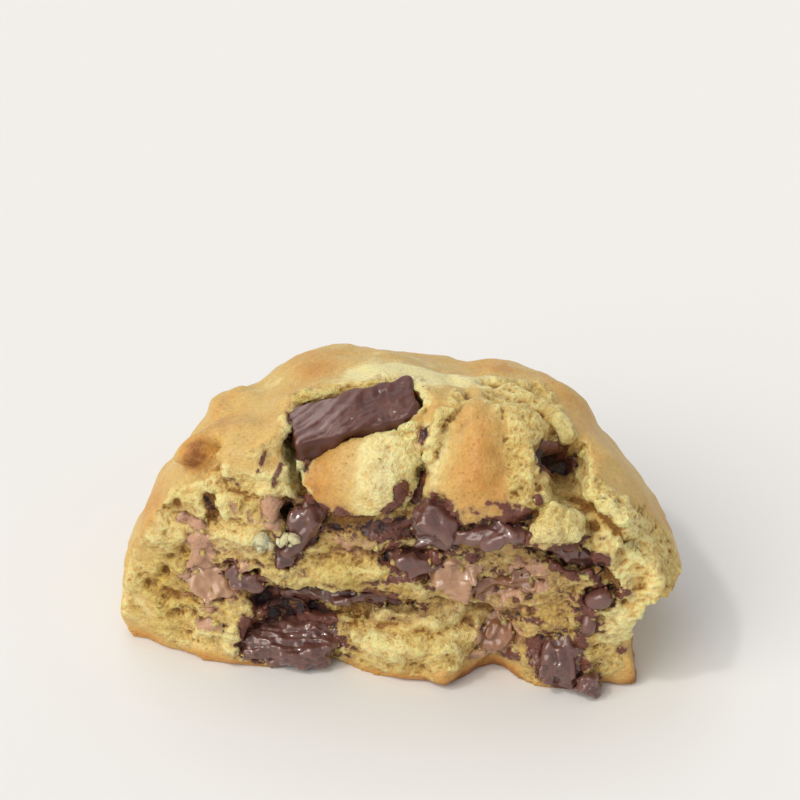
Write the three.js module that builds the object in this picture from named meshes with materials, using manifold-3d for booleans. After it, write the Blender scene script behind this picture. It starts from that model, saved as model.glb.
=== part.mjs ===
// Half of a thick, domed chocolate chunk cookie, torn in two by hand. Millimetres, +Z up.
// The flat underside lies on Z = 0 and the torn face looks along -Y. The origin is on the
// underside, in the middle of the torn edge. The dough is one solid: a dome, torn open, with the
// plates of crust that cracked and sagged over the tear. Each piece of chocolate is its own solid,
// bedded in the dough with a hair's gap round it.
import * as THREE from "three";
import { ImprovedNoise } from "three/addons/math/ImprovedNoise.js";
import { mergeVertices } from "three/addons/utils/BufferGeometryUtils.js";
import Module from "manifold-3d";

const wasm = await Module();
wasm.setup();

// The whole cookie, before it was torn
const RADIUS = 49.5;
const HEIGHT = 50.5;
const DOME_POWER = 1.86; // 2 is a true ellipse over the bulge, less is nearer a cone
const BULGE_LEVEL = 11.5; // the side is widest here
const UNDERCUT = 27; // depth of the ellipse under the bulge; the tray cuts it off at Z = 0
const FOOT_SHIFT = 3; // the foot spread towards -X as the dough slumped
const MIDDLE_BEHIND_TEAR = 8.5;

// Fineness of the faceted surfaces
const DOME_DETAIL = 11;
const TEAR_STEP = 2.5;
const GAP = 0.3;

const CRUST_COLOUR = 0xd9a860;
const DARK_CHOCOLATE = 0x3f211c;
const MILK_CHOCOLATE = 0x8a5a40;

const { degToRad, smoothstep } = THREE.MathUtils;
const perlin = new ImprovedNoise();

// Smooth noise from -1 to 1 whose bumps are about size mm across
function bumps(x, y, z, size, seed = 0) {
  return perlin.noise(x / size + 17.3 * seed, y / size + 5.1, z / size + 9.7);
}

// The value at x of a smooth curve through [x, value] knots
function curveAt(knots, x) {
  const last = knots.length - 1;
  if (x <= knots[0][0]) return knots[0][1];
  if (x >= knots[last][0]) return knots[last][1];
  const i = knots.findIndex((knot) => x < knot[0]) - 1;
  const [x0, v0] = knots[i];
  const [x1, v1] = knots[i + 1];
  return v0 + (v1 - v0) * smoothstep(x, x0, x1);
}

// 1 at the middle of a bell-shaped spot, falling to nothing a few radii away
function bell(dx, dy, dz, radius) {
  return Math.exp(-(dx * dx + dy * dy + dz * dz) / (radius * radius));
}

function solidOf(geometry) {
  const bare = geometry.clone();
  bare.deleteAttribute("normal");
  bare.deleteAttribute("uv");
  const merged = mergeVertices(bare, 1e-4);
  return new wasm.Manifold(
    new wasm.Mesh({
      numProp: 3,
      vertProperties: merged.attributes.position.array,
      triVerts: new Uint32Array(merged.index.array),
    }),
  );
}

function geometryOf(solid) {
  const mesh = solid.getMesh();
  const geometry = new THREE.BufferGeometry();
  geometry.setAttribute("position", new THREE.BufferAttribute(mesh.vertProperties, 3));
  geometry.setIndex(new THREE.BufferAttribute(mesh.triVerts, 1));
  geometry.computeVertexNormals();
  return geometry;
}

// The biggest body of a solid, without the crumbs that a cut left loose
function mainBody(solid) {
  const bodies = solid.decompose();
  return bodies.reduce((best, body) => (body.volume() > best.volume() ? body : best));
}

// Moves every vertex of a geometry by a function of its place
function reshape(geometry, move) {
  const positions = geometry.attributes.position;
  const point = new THREE.Vector3();
  for (let i = 0; i < positions.count; i++) {
    move(point.fromBufferAttribute(positions, i));
    positions.setXYZ(i, point.x, point.y, point.z);
  }
  return geometry;
}

// Knobs and hollows of the baked crust: place, radius and height
const CRUST_KNOBS = [
  { at: [-49, 4, 11], radius: 13, height: 0.9 },
  { at: [-45, 0, 2], radius: 6, height: 1.6 },
  { at: [-46, 5, 25], radius: 8, height: -1.1 },
  { at: [-42, 12, 27], radius: 4.5, height: 1.4 },
  { at: [-37, 19, 35], radius: 4.5, height: 0.8 },
  { at: [-23, 28, 41], radius: 7, height: 1.7 },
  { at: [-18, 34, 42], radius: 9, height: 1.3 },
  { at: [-38, 30, 28], radius: 9, height: -1.6 },
  { at: [12, 33, 44], radius: 2.4, height: 2.2 },
  { at: [4, 38, 42], radius: 10, height: -3.4 },
  { at: [37, 26, 32], radius: 9, height: -1.6 },
  { at: [24, 35, 38], radius: 8, height: 1.7 },
  { at: [-12, 50, 33], radius: 9, height: 1.4 },
  { at: [40, 32, 21], radius: 9, height: -1.6 },
  { at: [10, 57, 14], radius: 10, height: 1.0 },
];

// The dome as it was baked: an ellipsoid with a tighter lower half, lumpy, and flat underneath
function domeSolid() {
  const dome = new THREE.IcosahedronGeometry(1, DOME_DETAIL);
  reshape(dome, (p) => {
    const across = Math.hypot(p.x, p.y) / RADIUS;
    const along = Math.abs(p.z) / (p.z > 0 ? HEIGHT - BULGE_LEVEL : UNDERCUT);
    const power = p.z > 0 ? DOME_POWER : 2;
    p.divideScalar((across ** power + along ** power) ** (1 / power));
    const out = p.clone().normalize();
    const lump = 1.5 * bumps(p.x, p.y, p.z, 21) + 0.7 * bumps(p.x, p.y, p.z, 9, 1);
    p.addScaledVector(out, lump);
    p.z += BULGE_LEVEL;
    p.y += MIDDLE_BEHIND_TEAR;
    p.x -= FOOT_SHIFT * smoothstep(BULGE_LEVEL - p.z, 0, BULGE_LEVEL);
    for (const { at, radius, height } of CRUST_KNOBS) {
      p.addScaledVector(out, height * bell(p.x - at[0], p.y - at[1], p.z - at[2], radius));
    }
  });
  const tray = new THREE.BoxGeometry(4 * RADIUS, 4 * RADIUS, RADIUS);
  tray.translate(0, 0, -RADIUS / 2);
  return solidOf(dome).subtract(solidOf(tray));
}

// How far behind the plane Y = 0 the torn edge lies along the underside, from end to end
const LOWER_EDGE = [
  [-48, 0],
  [-41, -2.4],
  [-33, -4.8],
  [-23, -4.8],
  [-12, -0.7],
  [0, -4.2],
  [8, -4.4],
  [17, 2],
  [25, -2.6],
  [32, -3],
  [37, 0],
  [48, 1],
];

// How far the top of the tear slopes back, by the width of the face
const UPPER_SLOPE = [
  [-50, 4],
  [-38, 3],
  [-24, 2],
  [-16, 7],
  [-6, 10],
  [3, 6],
  [9, 7],
  [15, 11],
  [24, 14],
  [31, 8],
  [40, 4],
  [50, 6],
];

// Crevices and swellings of the torn face: middle, half width, half height, depth, tilt in degrees
const FACE_FEATURES = [
  { x: -12, z: 13, wide: 13, high: 1.7, depth: 5, tilt: 2 },
  { x: 8, z: 13, wide: 12, high: 1.3, depth: 2.2, tilt: -6 },
  { x: 27.5, z: 37.5, wide: 3.4, high: 6.5, depth: 9, tilt: 20 },
  { x: 3.5, z: 38, wide: 1.6, high: 6, depth: 5, tilt: 10 },
  { x: -33, z: 22, wide: 2.2, high: 3, depth: 2.6, tilt: 30 },
  { x: -38, z: 31, wide: 1.8, high: 3.4, depth: 3, tilt: 15 },
  { x: -20, z: 31, wide: 2.4, high: 2, depth: 3.4, tilt: 0 },
  { x: 6, z: 30, wide: 10, high: 3, depth: 3.2, tilt: 0 },
  { x: 24, z: 31, wide: 7, high: 2.2, depth: 3, tilt: -12 },
  { x: 40, z: 27, wide: 3, high: 2, depth: 2.4, tilt: -30 },
  { x: -8, z: 20, wide: 14, high: 4, depth: -2, tilt: -4 },
  { x: 3, z: 6.5, wide: 13, high: 4, depth: -1.6, tilt: 0 },
  { x: -30, z: 8, wide: 7, high: 4.5, depth: -1.2, tilt: 0 },
  { x: -28, z: 24, wide: 7, high: 5, depth: -1.4, tilt: 0 },
  { x: 38, z: 17, wide: 5, high: 7, depth: -1.6, tilt: 0 },
];

// How far behind the plane Y = 0 the torn face lies at (x, z)
function tearDepth(x, z) {
  let depth = curveAt(LOWER_EDGE, x) * (1 - 0.6 * smoothstep(z, 0, 14));
  depth += curveAt(UPPER_SLOPE, x) * smoothstep(z, 28, 47);
  for (const { x: fx, z: fz, wide, high, depth: deep, tilt } of FACE_FEATURES) {
    const turn = degToRad(tilt);
    const u = ((x - fx) * Math.cos(turn) + (z - fz) * Math.sin(turn)) / wide;
    const v = ((z - fz) * Math.cos(turn) - (x - fx) * Math.sin(turn)) / high;
    depth += deep * Math.exp(-u * u - v * v);
  }
  return depth + 1.5 * bumps(x, 0, 1.6 * z, 9, 2) + 1.1 * bumps(x, 3, 1.3 * z, 4.5, 3);
}

// What the tear took away: a block whose back is the torn face
function tearSolid() {
  const width = 2.6 * RADIUS;
  const height = 1.5 * HEIGHT;
  const away = 2 * RADIUS;
  const block = new THREE.BoxGeometry(
    width,
    away,
    height,
    Math.round(width / TEAR_STEP),
    1,
    Math.round(height / TEAR_STEP),
  );
  reshape(block, (p) => {
    p.z += height / 2 - 5;
    if (p.y > 0) p.y = tearDepth(p.x, p.z);
  });
  return solidOf(block);
}

// A rounded, uneven piece. size is its full width, depth and height, turn its tilts in degrees
// about X, Y and Z, and boxiness 2 is an ellipsoid, 6 nearly a block.
function pieceGeometry({ at, size, turn, boxiness = 2.3, rough = 0.7, detail = 2 }, grow = 0) {
  const piece = new THREE.IcosahedronGeometry(1, detail);
  const euler = new THREE.Euler(...turn.map(degToRad));
  const seed = at[0] + at[2];
  const grain = Math.max(2.5, 0.35 * Math.min(...size));
  reshape(piece, (p) => {
    const out = p.clone();
    const reach = p.toArray().reduce((sum, part) => sum + Math.abs(part) ** boxiness, 0);
    p.divideScalar(reach ** (1 / boxiness));
    p.multiply(new THREE.Vector3(...size).multiplyScalar(0.5));
    const wide = bumps(p.x, p.y, p.z, 2 * grain, seed);
    const fine = bumps(p.x, p.y, p.z, grain, seed + 1);
    p.addScaledVector(out, rough * (wide + 0.6 * fine) + grow);
    p.applyEuler(euler);
    p.add(new THREE.Vector3(...at));
  });
  return piece;
}

// Plates of crust and lumps of crumb that hang together with the dough
const DOUGH_LUMPS = [
  { at: [-26, 6, 36.6], size: [21, 16, 16], turn: [-25, 8, 0], boxiness: 2.4, rough: 1.2, detail: 5 },
  { at: [-7, 5.6, 38], size: [21.5, 19, 12.5], turn: [38, -8, -6], boxiness: 2.5, rough: 1, detail: 5 },
  { at: [15, 7, 39], size: [20.5, 22.5, 14], turn: [42, -2, 0], boxiness: 3, rough: 1.1, detail: 5 },
  { at: [5.4, 13, 43.6], size: [8, 19, 11], turn: [12, 0, 0], boxiness: 2.4, rough: 0.8, detail: 3 },
  { at: [27, -0.6, 33.2], size: [9.5, 7, 7], turn: [0, 25, 10], boxiness: 2.2, rough: 1.4, detail: 3 },
  { at: [8.6, -3.4, 2.6], size: [6.5, 6, 5], turn: [0, 0, 0], boxiness: 2.2, rough: 0.8, detail: 2 },
];

// Where the crust has cracked and parted round its plates, where nothing is left over the slab,
// and where the foot at the right end has broken away under the crust
const CRACKS = [
  { at: [28.4, 8, 38.6], size: [6, 17, 13], turn: [0, 14, 6], rough: 0.6, detail: 3 },
  { at: [23, 17.5, 46.5], size: [3.4, 17, 8], turn: [0, 20, 38], rough: 0.4, detail: 3 },
  { at: [13, 24, 49.5], size: [13, 3.2, 8], turn: [0, 0, -12], rough: 0.4, detail: 3 },
  { at: [3.4, 1.5, 40], size: [3.2, 11, 13], turn: [30, 8, 0], rough: 0.4, detail: 3 },
  { at: [-18.6, 4, 39.6], size: [3.4, 13, 12], turn: [20, -12, 12], rough: 0.4, detail: 3 },
  { at: [-9.6, 8.6, 50.6], size: [24, 12, 9], turn: [14, -6, 21], boxiness: 4, rough: 0.4, detail: 4 },
  { at: [50.6, 2, 8.4], size: [20, 60, 24], turn: [0, -6, 12], boxiness: 2.8, rough: 1.2, detail: 4 },
];

// Chocolate, by its place (x, z) on the torn face, how far its middle lies behind that face, and
// its tilt in the plane of the face. The slab on the top of the cookie and the lip of the plate in
// front of the tear state their own depth as y.
const CHOCOLATE = [
  {
    name: "chocolate_slab",
    x: -9.3,
    y: 9.6,
    z: 44.6,
    size: [23, 9.6, 8],
    turn: [14, -6, 21],
    boxiness: 5,
    rough: 0.3,
    detail: 3,
  },
  { name: "melted_pool_left", x: -19, z: 5.2, inset: 0.6, size: [19, 7, 8.5], tilt: -4, detail: 3 },
  { name: "melted_seam", x: -8, z: 14.6, inset: -0.4, size: [25, 5, 3], tilt: -4 },
  { name: "small_chunk_left", x: -26.3, z: 17.6, size: [6.2, 4.5, 3.6], tilt: 8, boxiness: 3 },
  { name: "melted_smear_left", x: -17, z: 27.5, size: [4.6, 5, 16.5], tilt: 26 },
  { name: "chunk_middle_upper", x: 7.6, z: 35, inset: -2.6, size: [7.5, 6, 6.2], tilt: 20, boxiness: 3 },
  { name: "chunk_middle_lower", x: 7, z: 29.6, size: [8, 6, 5.5], tilt: -15 },
  { name: "melted_drop_middle", x: 2.2, z: 24, inset: 0.2, size: [9, 5, 5], tilt: 12 },
  { name: "melted_lip_right", x: 16.6, y: -3.6, z: 33.6, size: [13, 6, 4.6], tilt: -12 },
  { name: "melted_band_right", x: 27, z: 28.6, size: [15, 5, 5], tilt: 14, rough: 1 },
  { name: "chip_right", x: 34.9, z: 20.6, inset: -0.4, size: [6.2, 4.6, 4.8], tilt: -20, rough: 0.2 },
  { name: "chip_right_lower", x: 33.2, z: 15, size: [3.2, 3.6, 5], tilt: -10, rough: 0.2 },
  { name: "chunk_bottom_right", x: 29.2, z: 6.2, inset: -0.4, size: [7.5, 6, 9.5], tilt: 18 },
  { name: "crumb_foot_right", x: 33.6, z: 2.4, inset: -1.6, size: [4.6, 5.5, 3.6] },
  { name: "milk_smear_middle", x: 10.4, z: 22.4, size: [8.6, 4.4, 7.5], tilt: 28, milk: true },
  { name: "milk_smear_right", x: 20, z: 20.6, size: [13.5, 4.4, 4.2], tilt: -20, milk: true },
  { name: "milk_flake_lower", x: 17.6, z: 8, size: [6, 4, 6], tilt: 10, milk: true },
  { name: "milk_smear_left", x: -32.2, z: 17.2, size: [8.5, 4, 9.5], tilt: 35, milk: true },
];

function placed(piece) {
  const { x, z, inset = 0, tilt = 0, turn = [0, tilt, 0] } = piece;
  const y = piece.y ?? tearDepth(x, z) + inset;
  return { ...piece, turn, at: [x, y, z] };
}

// Each chocolate piece as a solid, cut clear of the pieces before it
function chocolateSolids() {
  const done = [];
  for (const piece of CHOCOLATE.map(placed)) {
    let solid = solidOf(pieceGeometry(piece));
    for (const other of done) solid = solid.subtract(other.pocket);
    done.push({ piece, solid: mainBody(solid), pocket: solidOf(pieceGeometry(piece, GAP)) });
  }
  return done;
}

function doughSolid(pockets) {
  let dough = domeSolid().subtract(tearSolid());
  for (const lump of DOUGH_LUMPS) dough = dough.add(solidOf(pieceGeometry(lump)));
  for (const crack of CRACKS) dough = dough.subtract(solidOf(pieceGeometry(crack)));
  for (const pocket of pockets) dough = dough.subtract(pocket);
  return mainBody(dough);
}

function addMesh(group, name, solid, colour, roughness) {
  const material = new THREE.MeshStandardMaterial({ color: colour, roughness, metalness: 0 });
  const mesh = new THREE.Mesh(geometryOf(solid), material);
  mesh.name = name;
  group.add(mesh);
}

const cookie = new THREE.Group();
cookie.name = "torn_cookie_half";
const chocolates = chocolateSolids();
addMesh(cookie, "dough", doughSolid(chocolates.map(({ pocket }) => pocket)), CRUST_COLOUR, 0.8);
for (const { piece, solid } of chocolates) {
  addMesh(cookie, piece.name, solid, piece.milk ? MILK_CHOCOLATE : DARK_CHOCOLATE, 0.35);
}

export default cookie;
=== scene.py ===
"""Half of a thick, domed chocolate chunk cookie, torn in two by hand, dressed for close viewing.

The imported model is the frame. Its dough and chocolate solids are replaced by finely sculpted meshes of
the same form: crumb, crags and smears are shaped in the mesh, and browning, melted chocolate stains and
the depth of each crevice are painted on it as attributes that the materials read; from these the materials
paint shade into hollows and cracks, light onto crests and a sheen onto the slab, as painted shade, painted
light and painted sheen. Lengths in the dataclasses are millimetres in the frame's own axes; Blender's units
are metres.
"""

from __future__ import annotations

import logging
import math
import random
from collections.abc import Callable, Sequence
from dataclasses import dataclass
from enum import Enum
from functools import partial

import bpy
import numpy as np
from mathutils import Matrix, Vector, noise
from mathutils.bvhtree import BVHTree

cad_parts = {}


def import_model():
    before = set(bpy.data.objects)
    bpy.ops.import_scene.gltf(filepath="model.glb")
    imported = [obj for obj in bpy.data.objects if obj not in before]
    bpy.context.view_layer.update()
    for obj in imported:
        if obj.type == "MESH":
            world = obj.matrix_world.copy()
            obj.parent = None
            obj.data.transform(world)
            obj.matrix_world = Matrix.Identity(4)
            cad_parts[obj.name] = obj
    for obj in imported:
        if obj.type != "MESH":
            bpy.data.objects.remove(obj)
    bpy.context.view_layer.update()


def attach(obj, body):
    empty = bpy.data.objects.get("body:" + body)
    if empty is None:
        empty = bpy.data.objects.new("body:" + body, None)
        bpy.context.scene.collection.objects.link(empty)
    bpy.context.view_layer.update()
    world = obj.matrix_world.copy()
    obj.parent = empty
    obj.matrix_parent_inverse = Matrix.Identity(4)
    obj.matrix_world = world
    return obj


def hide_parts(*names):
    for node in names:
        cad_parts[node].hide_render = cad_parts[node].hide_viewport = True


MM = 0.001
BODY = "root"
# The direction the torn face is looked at from
AZIMUTH = math.radians(8.95)
ELEVATION = math.radians(34.74)
TOWARDS_VIEWER = np.array(
    (
        math.sin(AZIMUTH) * math.cos(ELEVATION),
        -math.cos(AZIMUTH) * math.cos(ELEVATION),
        math.sin(ELEVATION),
    )
)
LOG = logging.getLogger("cookie")

Point = tuple[float, float, float]
Mark = tuple[Sequence[Point], float, float]


class Slot(Enum):
    """The material slots of the pieces."""

    DOUGH = "dough"
    DARK = "dark_chocolate"
    MILK = "milk_chocolate"


class Paint(Enum):
    """Painted masks, each a number from 0 to 1 at every vertex."""

    TORN = "torn"
    BAKED = "baked"
    DARK = "dark_stain"
    MILK = "milk_stain"
    # Painted shading: painted shade in hollows and cracks, painted light on crests, and on the slab a
    # painted sheen
    RELIEF = "relief"
    DAMP_AND_LIT = "moist"


# Numbers and noise


def smoothstep(values: np.ndarray, low: float, high: float) -> np.ndarray:
    """Rises smoothly from 0 at low to 1 at high."""
    t = np.clip((values - low) / (high - low), 0.0, 1.0)
    return t * t * (3.0 - 2.0 * t)


def bumps(points: np.ndarray, size: float | Point, seed: float = 0.0) -> np.ndarray:
    """Smooth noise from about -1 to 1.

    Args:
        points: Places in millimetres, one a row.
        size: Width of the bumps in millimetres, one number or one for each axis.
        seed: Picks another pattern.

    Returns:
        One value a point.
    """
    scaled = points / np.asarray(size) + (17.3 * seed, 5.1 * seed, 9.7 * seed)
    return np.array([noise.noise(place) for place in scaled.tolist()])


def warped(points: np.ndarray, size: float, reach: float, seed: float = 0.0) -> np.ndarray:
    """Shifts points by smooth noise of that size, up to reach millimetres, so that patterns bend."""
    return points + reach * np.stack([bumps(points, size, seed + step) for step in (0.0, 3.1, 6.7)], 1)


def grains(points: np.ndarray, size: float | Point, seed: float = 0.0) -> tuple[np.ndarray, np.ndarray]:
    """Packed round grains, as crumb breaks into.

    Args:
        points: Places in millimetres, one a row.
        size: Distance between grains in millimetres, one number or one for each axis.
        seed: Picks another pattern.

    Returns:
        The height of the grain at each point, 1 at its middle and about 0 in the gaps, and a random
        number from 0 to 1 that is the same all over one grain.
    """
    scaled = points / np.asarray(size) + (7.9 * seed, 3.3 * seed, 11.1 * seed)
    nearest = np.empty((len(points), 4))
    for row, place in enumerate(scaled.tolist()):
        distances, centres = noise.voronoi(place)
        nearest[row] = distances[0], *centres[0]
    lot = np.sin(nearest[:, 1:] @ (12.9898, 78.233, 37.719)) * 43758.5453
    return 1.0 - (1.25 * nearest[:, 0]) ** 2, lot - np.floor(lot)


def fractal(points: np.ndarray, size: float | Point, seed: float = 0.0, octaves: int = 3) -> np.ndarray:
    """Noise of the given size with ever smaller and weaker noise on top, from about -1 to 1."""
    sizes = (np.asarray(size) * 0.5**step for step in range(octaves))
    return sum(0.55**step * bumps(points, each, seed + 0.37 * step) for step, each in enumerate(sizes))


def crests(points: np.ndarray, size: float | Point, seed: float = 0.0) -> np.ndarray:
    """Sharp crests between rounded hollows, as torn crumb has, from about -0.7 to 0.5."""
    return 0.5 - 2.4 * np.abs(bumps(points, size, seed))


def spot(points: np.ndarray, centre: Point, radius: float | Point) -> np.ndarray:
    """1 at the centre of a bell-shaped spot, falling to nothing about two radii away."""
    offset = (points - np.asarray(centre)) / np.asarray(radius)
    return np.exp(-np.einsum("ij,ij->i", offset, offset))


def squeezed(points: np.ndarray, share: float = 0.75) -> np.ndarray:
    """Takes away a share of the depth of places, as the torn face is looked at.

    Marks on the torn face are set by their outline, so their depth counts for less than their width.
    """
    return points - share * (points @ TOWARDS_VIEWER)[..., None] * TOWARDS_VIEWER


def unseen(points: np.ndarray, start: float = 14.0, end: float = 26.0) -> np.ndarray:
    """0 on the side that the photo shows, rising to 1 behind it between two places along Y."""
    return smoothstep(points[:, 1], start, end)


def distance_to_line(points: np.ndarray, line: Sequence[Point]) -> np.ndarray:
    """Distance in millimetres of each squeezed point from a bent line, or from a single point."""
    bends = squeezed(np.asarray(line, float))
    best = np.linalg.norm(points - bends[0], axis=1)
    for a, b in zip(bends, bends[1:]):
        share = np.clip((points - a) @ (b - a) / ((b - a) @ (b - a)), 0.0, 1.0)
        best = np.minimum(best, np.linalg.norm(points - a - share[:, None] * (b - a), axis=1))
    return best


# Meshes


def select_only(piece: bpy.types.Object) -> None:
    """Makes one object the only one selected, and the active one."""
    bpy.ops.object.select_all(action="DESELECT")
    piece.select_set(True)
    bpy.context.view_layer.objects.active = piece


def apply_modifier(piece: bpy.types.Object, kind: str, **settings: object) -> None:
    """Adds a modifier with its settings and applies it."""
    select_only(piece)
    modifier = piece.modifiers.new(kind.lower(), kind)
    for name, value in settings.items():
        setattr(modifier, name, value)
    bpy.ops.object.modifier_apply(modifier=modifier.name)


def copy_of_node(node: str, name: str) -> bpy.types.Object:
    """Copies a node of the frame as a new piece, with its loose triangles merged."""
    piece = bpy.data.objects.new(name, bpy.data.objects[node].data.copy())
    bpy.context.scene.collection.objects.link(piece)
    piece.data.materials.clear()
    select_only(piece)
    bpy.ops.object.mode_set(mode="EDIT")
    bpy.ops.mesh.select_all(action="SELECT")
    bpy.ops.mesh.remove_doubles(threshold=0.002 * MM)
    bpy.ops.object.mode_set(mode="OBJECT")
    return piece


def remesh(piece: bpy.types.Object, voxel: float, smoothing: int) -> None:
    """Gives a piece an even skin of small squares and rounds off its facets.

    Args:
        piece: The closed mesh to skin.
        voxel: Size of the squares in millimetres.
        smoothing: Rounds of smoothing.
    """
    apply_modifier(piece, "REMESH", mode="VOXEL", voxel_size=voxel * MM)
    if smoothing:
        apply_modifier(piece, "SMOOTH", factor=0.5, iterations=smoothing)


def divide_where(piece: bpy.types.Object, chosen: np.ndarray) -> None:
    """Splits each face in four where all its vertices are chosen."""
    mesh = piece.data
    corners = np.empty(len(mesh.loops), np.int32)
    mesh.loops.foreach_get("vertex_index", corners)
    starts = np.empty(len(mesh.polygons), np.int32)
    mesh.polygons.foreach_get("loop_start", starts)
    whole = np.logical_and.reduceat(chosen[corners], starts)
    select_only(piece)
    bpy.ops.object.mode_set(mode="EDIT")
    bpy.ops.mesh.select_mode(type="FACE")
    bpy.ops.mesh.select_all(action="DESELECT")
    bpy.ops.object.mode_set(mode="OBJECT")
    mesh.polygons.foreach_set("select", whole)
    bpy.ops.object.mode_set(mode="EDIT")
    bpy.ops.mesh.subdivide(number_cuts=1)
    bpy.ops.object.mode_set(mode="OBJECT")


def points_of(piece: bpy.types.Object) -> np.ndarray:
    """The vertices of a piece in millimetres, one a row."""
    flat = np.empty(3 * len(piece.data.vertices), np.float32)
    piece.data.vertices.foreach_get("co", flat)
    return flat.reshape(-1, 3).astype(float) / MM


def normals_of(piece: bpy.types.Object) -> np.ndarray:
    """The vertex normals of a piece, one a row."""
    flat = np.empty(3 * len(piece.data.vertices), np.float32)
    piece.data.vertex_normals.foreach_get("vector", flat)
    return flat.reshape(-1, 3).astype(float)


def move_to(piece: bpy.types.Object, points: np.ndarray) -> None:
    """Moves the vertices of a piece to new places in millimetres."""
    piece.data.vertices.foreach_set("co", (points * MM).astype(np.float32).ravel())
    piece.data.update()


def paint(piece: bpy.types.Object, mask: Paint, values: np.ndarray) -> None:
    """Stores a mask on the vertices of a piece."""
    mesh = piece.data
    layer = mesh.attributes.get(mask.value) or mesh.attributes.new(mask.value, "FLOAT", "POINT")
    layer.data.foreach_set("value", values.astype(np.float32))


def painted(piece: bpy.types.Object, mask: Paint) -> np.ndarray:
    """Reads a mask back from the vertices of a piece."""
    values = np.empty(len(piece.data.vertices), np.float32)
    piece.data.attributes[mask.value].data.foreach_get("value", values)
    return values.astype(float)


def distance_to_nodes(points: np.ndarray, nodes: Sequence[str]) -> np.ndarray:
    """Distance in millimetres of each point from the nearest of the frame's nodes."""
    corners, faces = [], []
    for node in nodes:
        mesh = bpy.data.objects[node].data
        faces += [[len(corners) + index for index in face.vertices] for face in mesh.polygons]
        corners += [vertex.co / MM for vertex in mesh.vertices]
    tree = BVHTree.FromPolygons(corners, faces)
    reach = 30.0
    return np.array([tree.find_nearest(place, reach)[3] or reach for place in points.tolist()])


def turned(degrees: Point) -> np.ndarray:
    """Rotation that turns about Z first, then Y, then X, as the solids' tilts are given."""
    rx, ry, rz = (Matrix.Rotation(math.radians(a), 3, axis) for a, axis in zip(degrees, "XYZ"))
    return np.array(rx @ ry @ rz)


def evened(piece: bpy.types.Object, rounds: int) -> tuple[np.ndarray, np.ndarray]:
    """Points and normals of a piece after some rounds of smoothing; the piece itself stays as it is."""
    even = bpy.data.objects.new("even", piece.data.copy())
    bpy.context.scene.collection.objects.link(even)
    apply_modifier(even, "SMOOTH", factor=0.5, iterations=rounds)
    points, normals = points_of(even), normals_of(even)
    bpy.data.objects.remove(even)
    return points, normals


def standing_out(piece: bpy.types.Object, rounds: int) -> np.ndarray:
    """How far each vertex stands out from the surface round it, in millimetres; in a hollow it is negative.

    Args:
        piece: The piece to look at.
        rounds: Rounds of smoothing that make the surface compared with; more of them look further round.
    """
    points, normals = evened(piece, rounds)
    return np.einsum("ij,ij->i", points_of(piece) - points, normals)


def finish_piece(piece: bpy.types.Object, slot: Slot, material: bpy.types.Material, *nodes: str) -> None:
    """Shades, dresses and seats a piece, in place of the nodes that it stands for."""
    piece.data.materials.clear()
    piece.data.materials.append(material)
    select_only(piece)
    bpy.ops.object.shade_smooth()
    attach(piece, BODY)
    if nodes:
        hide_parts(*nodes)
    LOG.info("%s: %d vertices", piece.name, len(piece.data.vertices))


# Finishes


def srgb(code: str) -> tuple[float, float, float, float]:
    """Turns a colour written as sRGB hex, such as D9A860, into linear RGBA."""
    channels = (int(code[i : i + 2], 16) / 255 for i in (0, 2, 4))
    linear = (c / 12.92 if c <= 0.04045 else ((c + 0.055) / 1.055) ** 2.4 for c in channels)
    return (*linear, 1.0)


def per_mm(size: float) -> float:
    """Scale of a texture node whose pattern repeats every size millimetres."""
    return 1.0 / (size * MM)


def add_node(
    tree: bpy.types.NodeTree, kind: str, settings: dict, links: dict | None = None, out: int = 0
) -> bpy.types.NodeSocket | None:
    """Adds a shader node.

    Args:
        tree: The material's node tree.
        kind: The node's type, without its ShaderNode prefix.
        settings: Properties by name, and input values by the input's name or number.
        links: Sockets by the name or number of the input that they feed.
        out: Number of the output to return.

    Returns:
        The output socket, or None for the last node.
    """
    node = tree.nodes.new("ShaderNode" + kind)
    for name, value in settings.items():
        if isinstance(name, str) and hasattr(node, name):
            setattr(node, name, value)
        else:
            node.inputs[name].default_value = value
    for name, socket in (links or {}).items():
        tree.links.new(socket, node.inputs[name])
    return node.outputs[out] if node.outputs else None


def empty_material(name: str) -> tuple[bpy.types.Material, Callable, bpy.types.NodeSocket]:
    """Makes a material with no nodes but the one that gives the place on the object.

    Args:
        name: What the material is called.

    Returns:
        The material, add_node for its tree, and the place on the object.
    """
    material = bpy.data.materials.new(name)
    material.use_nodes = True
    material.node_tree.nodes.clear()
    add = partial(add_node, material.node_tree)
    return material, add, add("TexCoord", {}, out=3)


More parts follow.
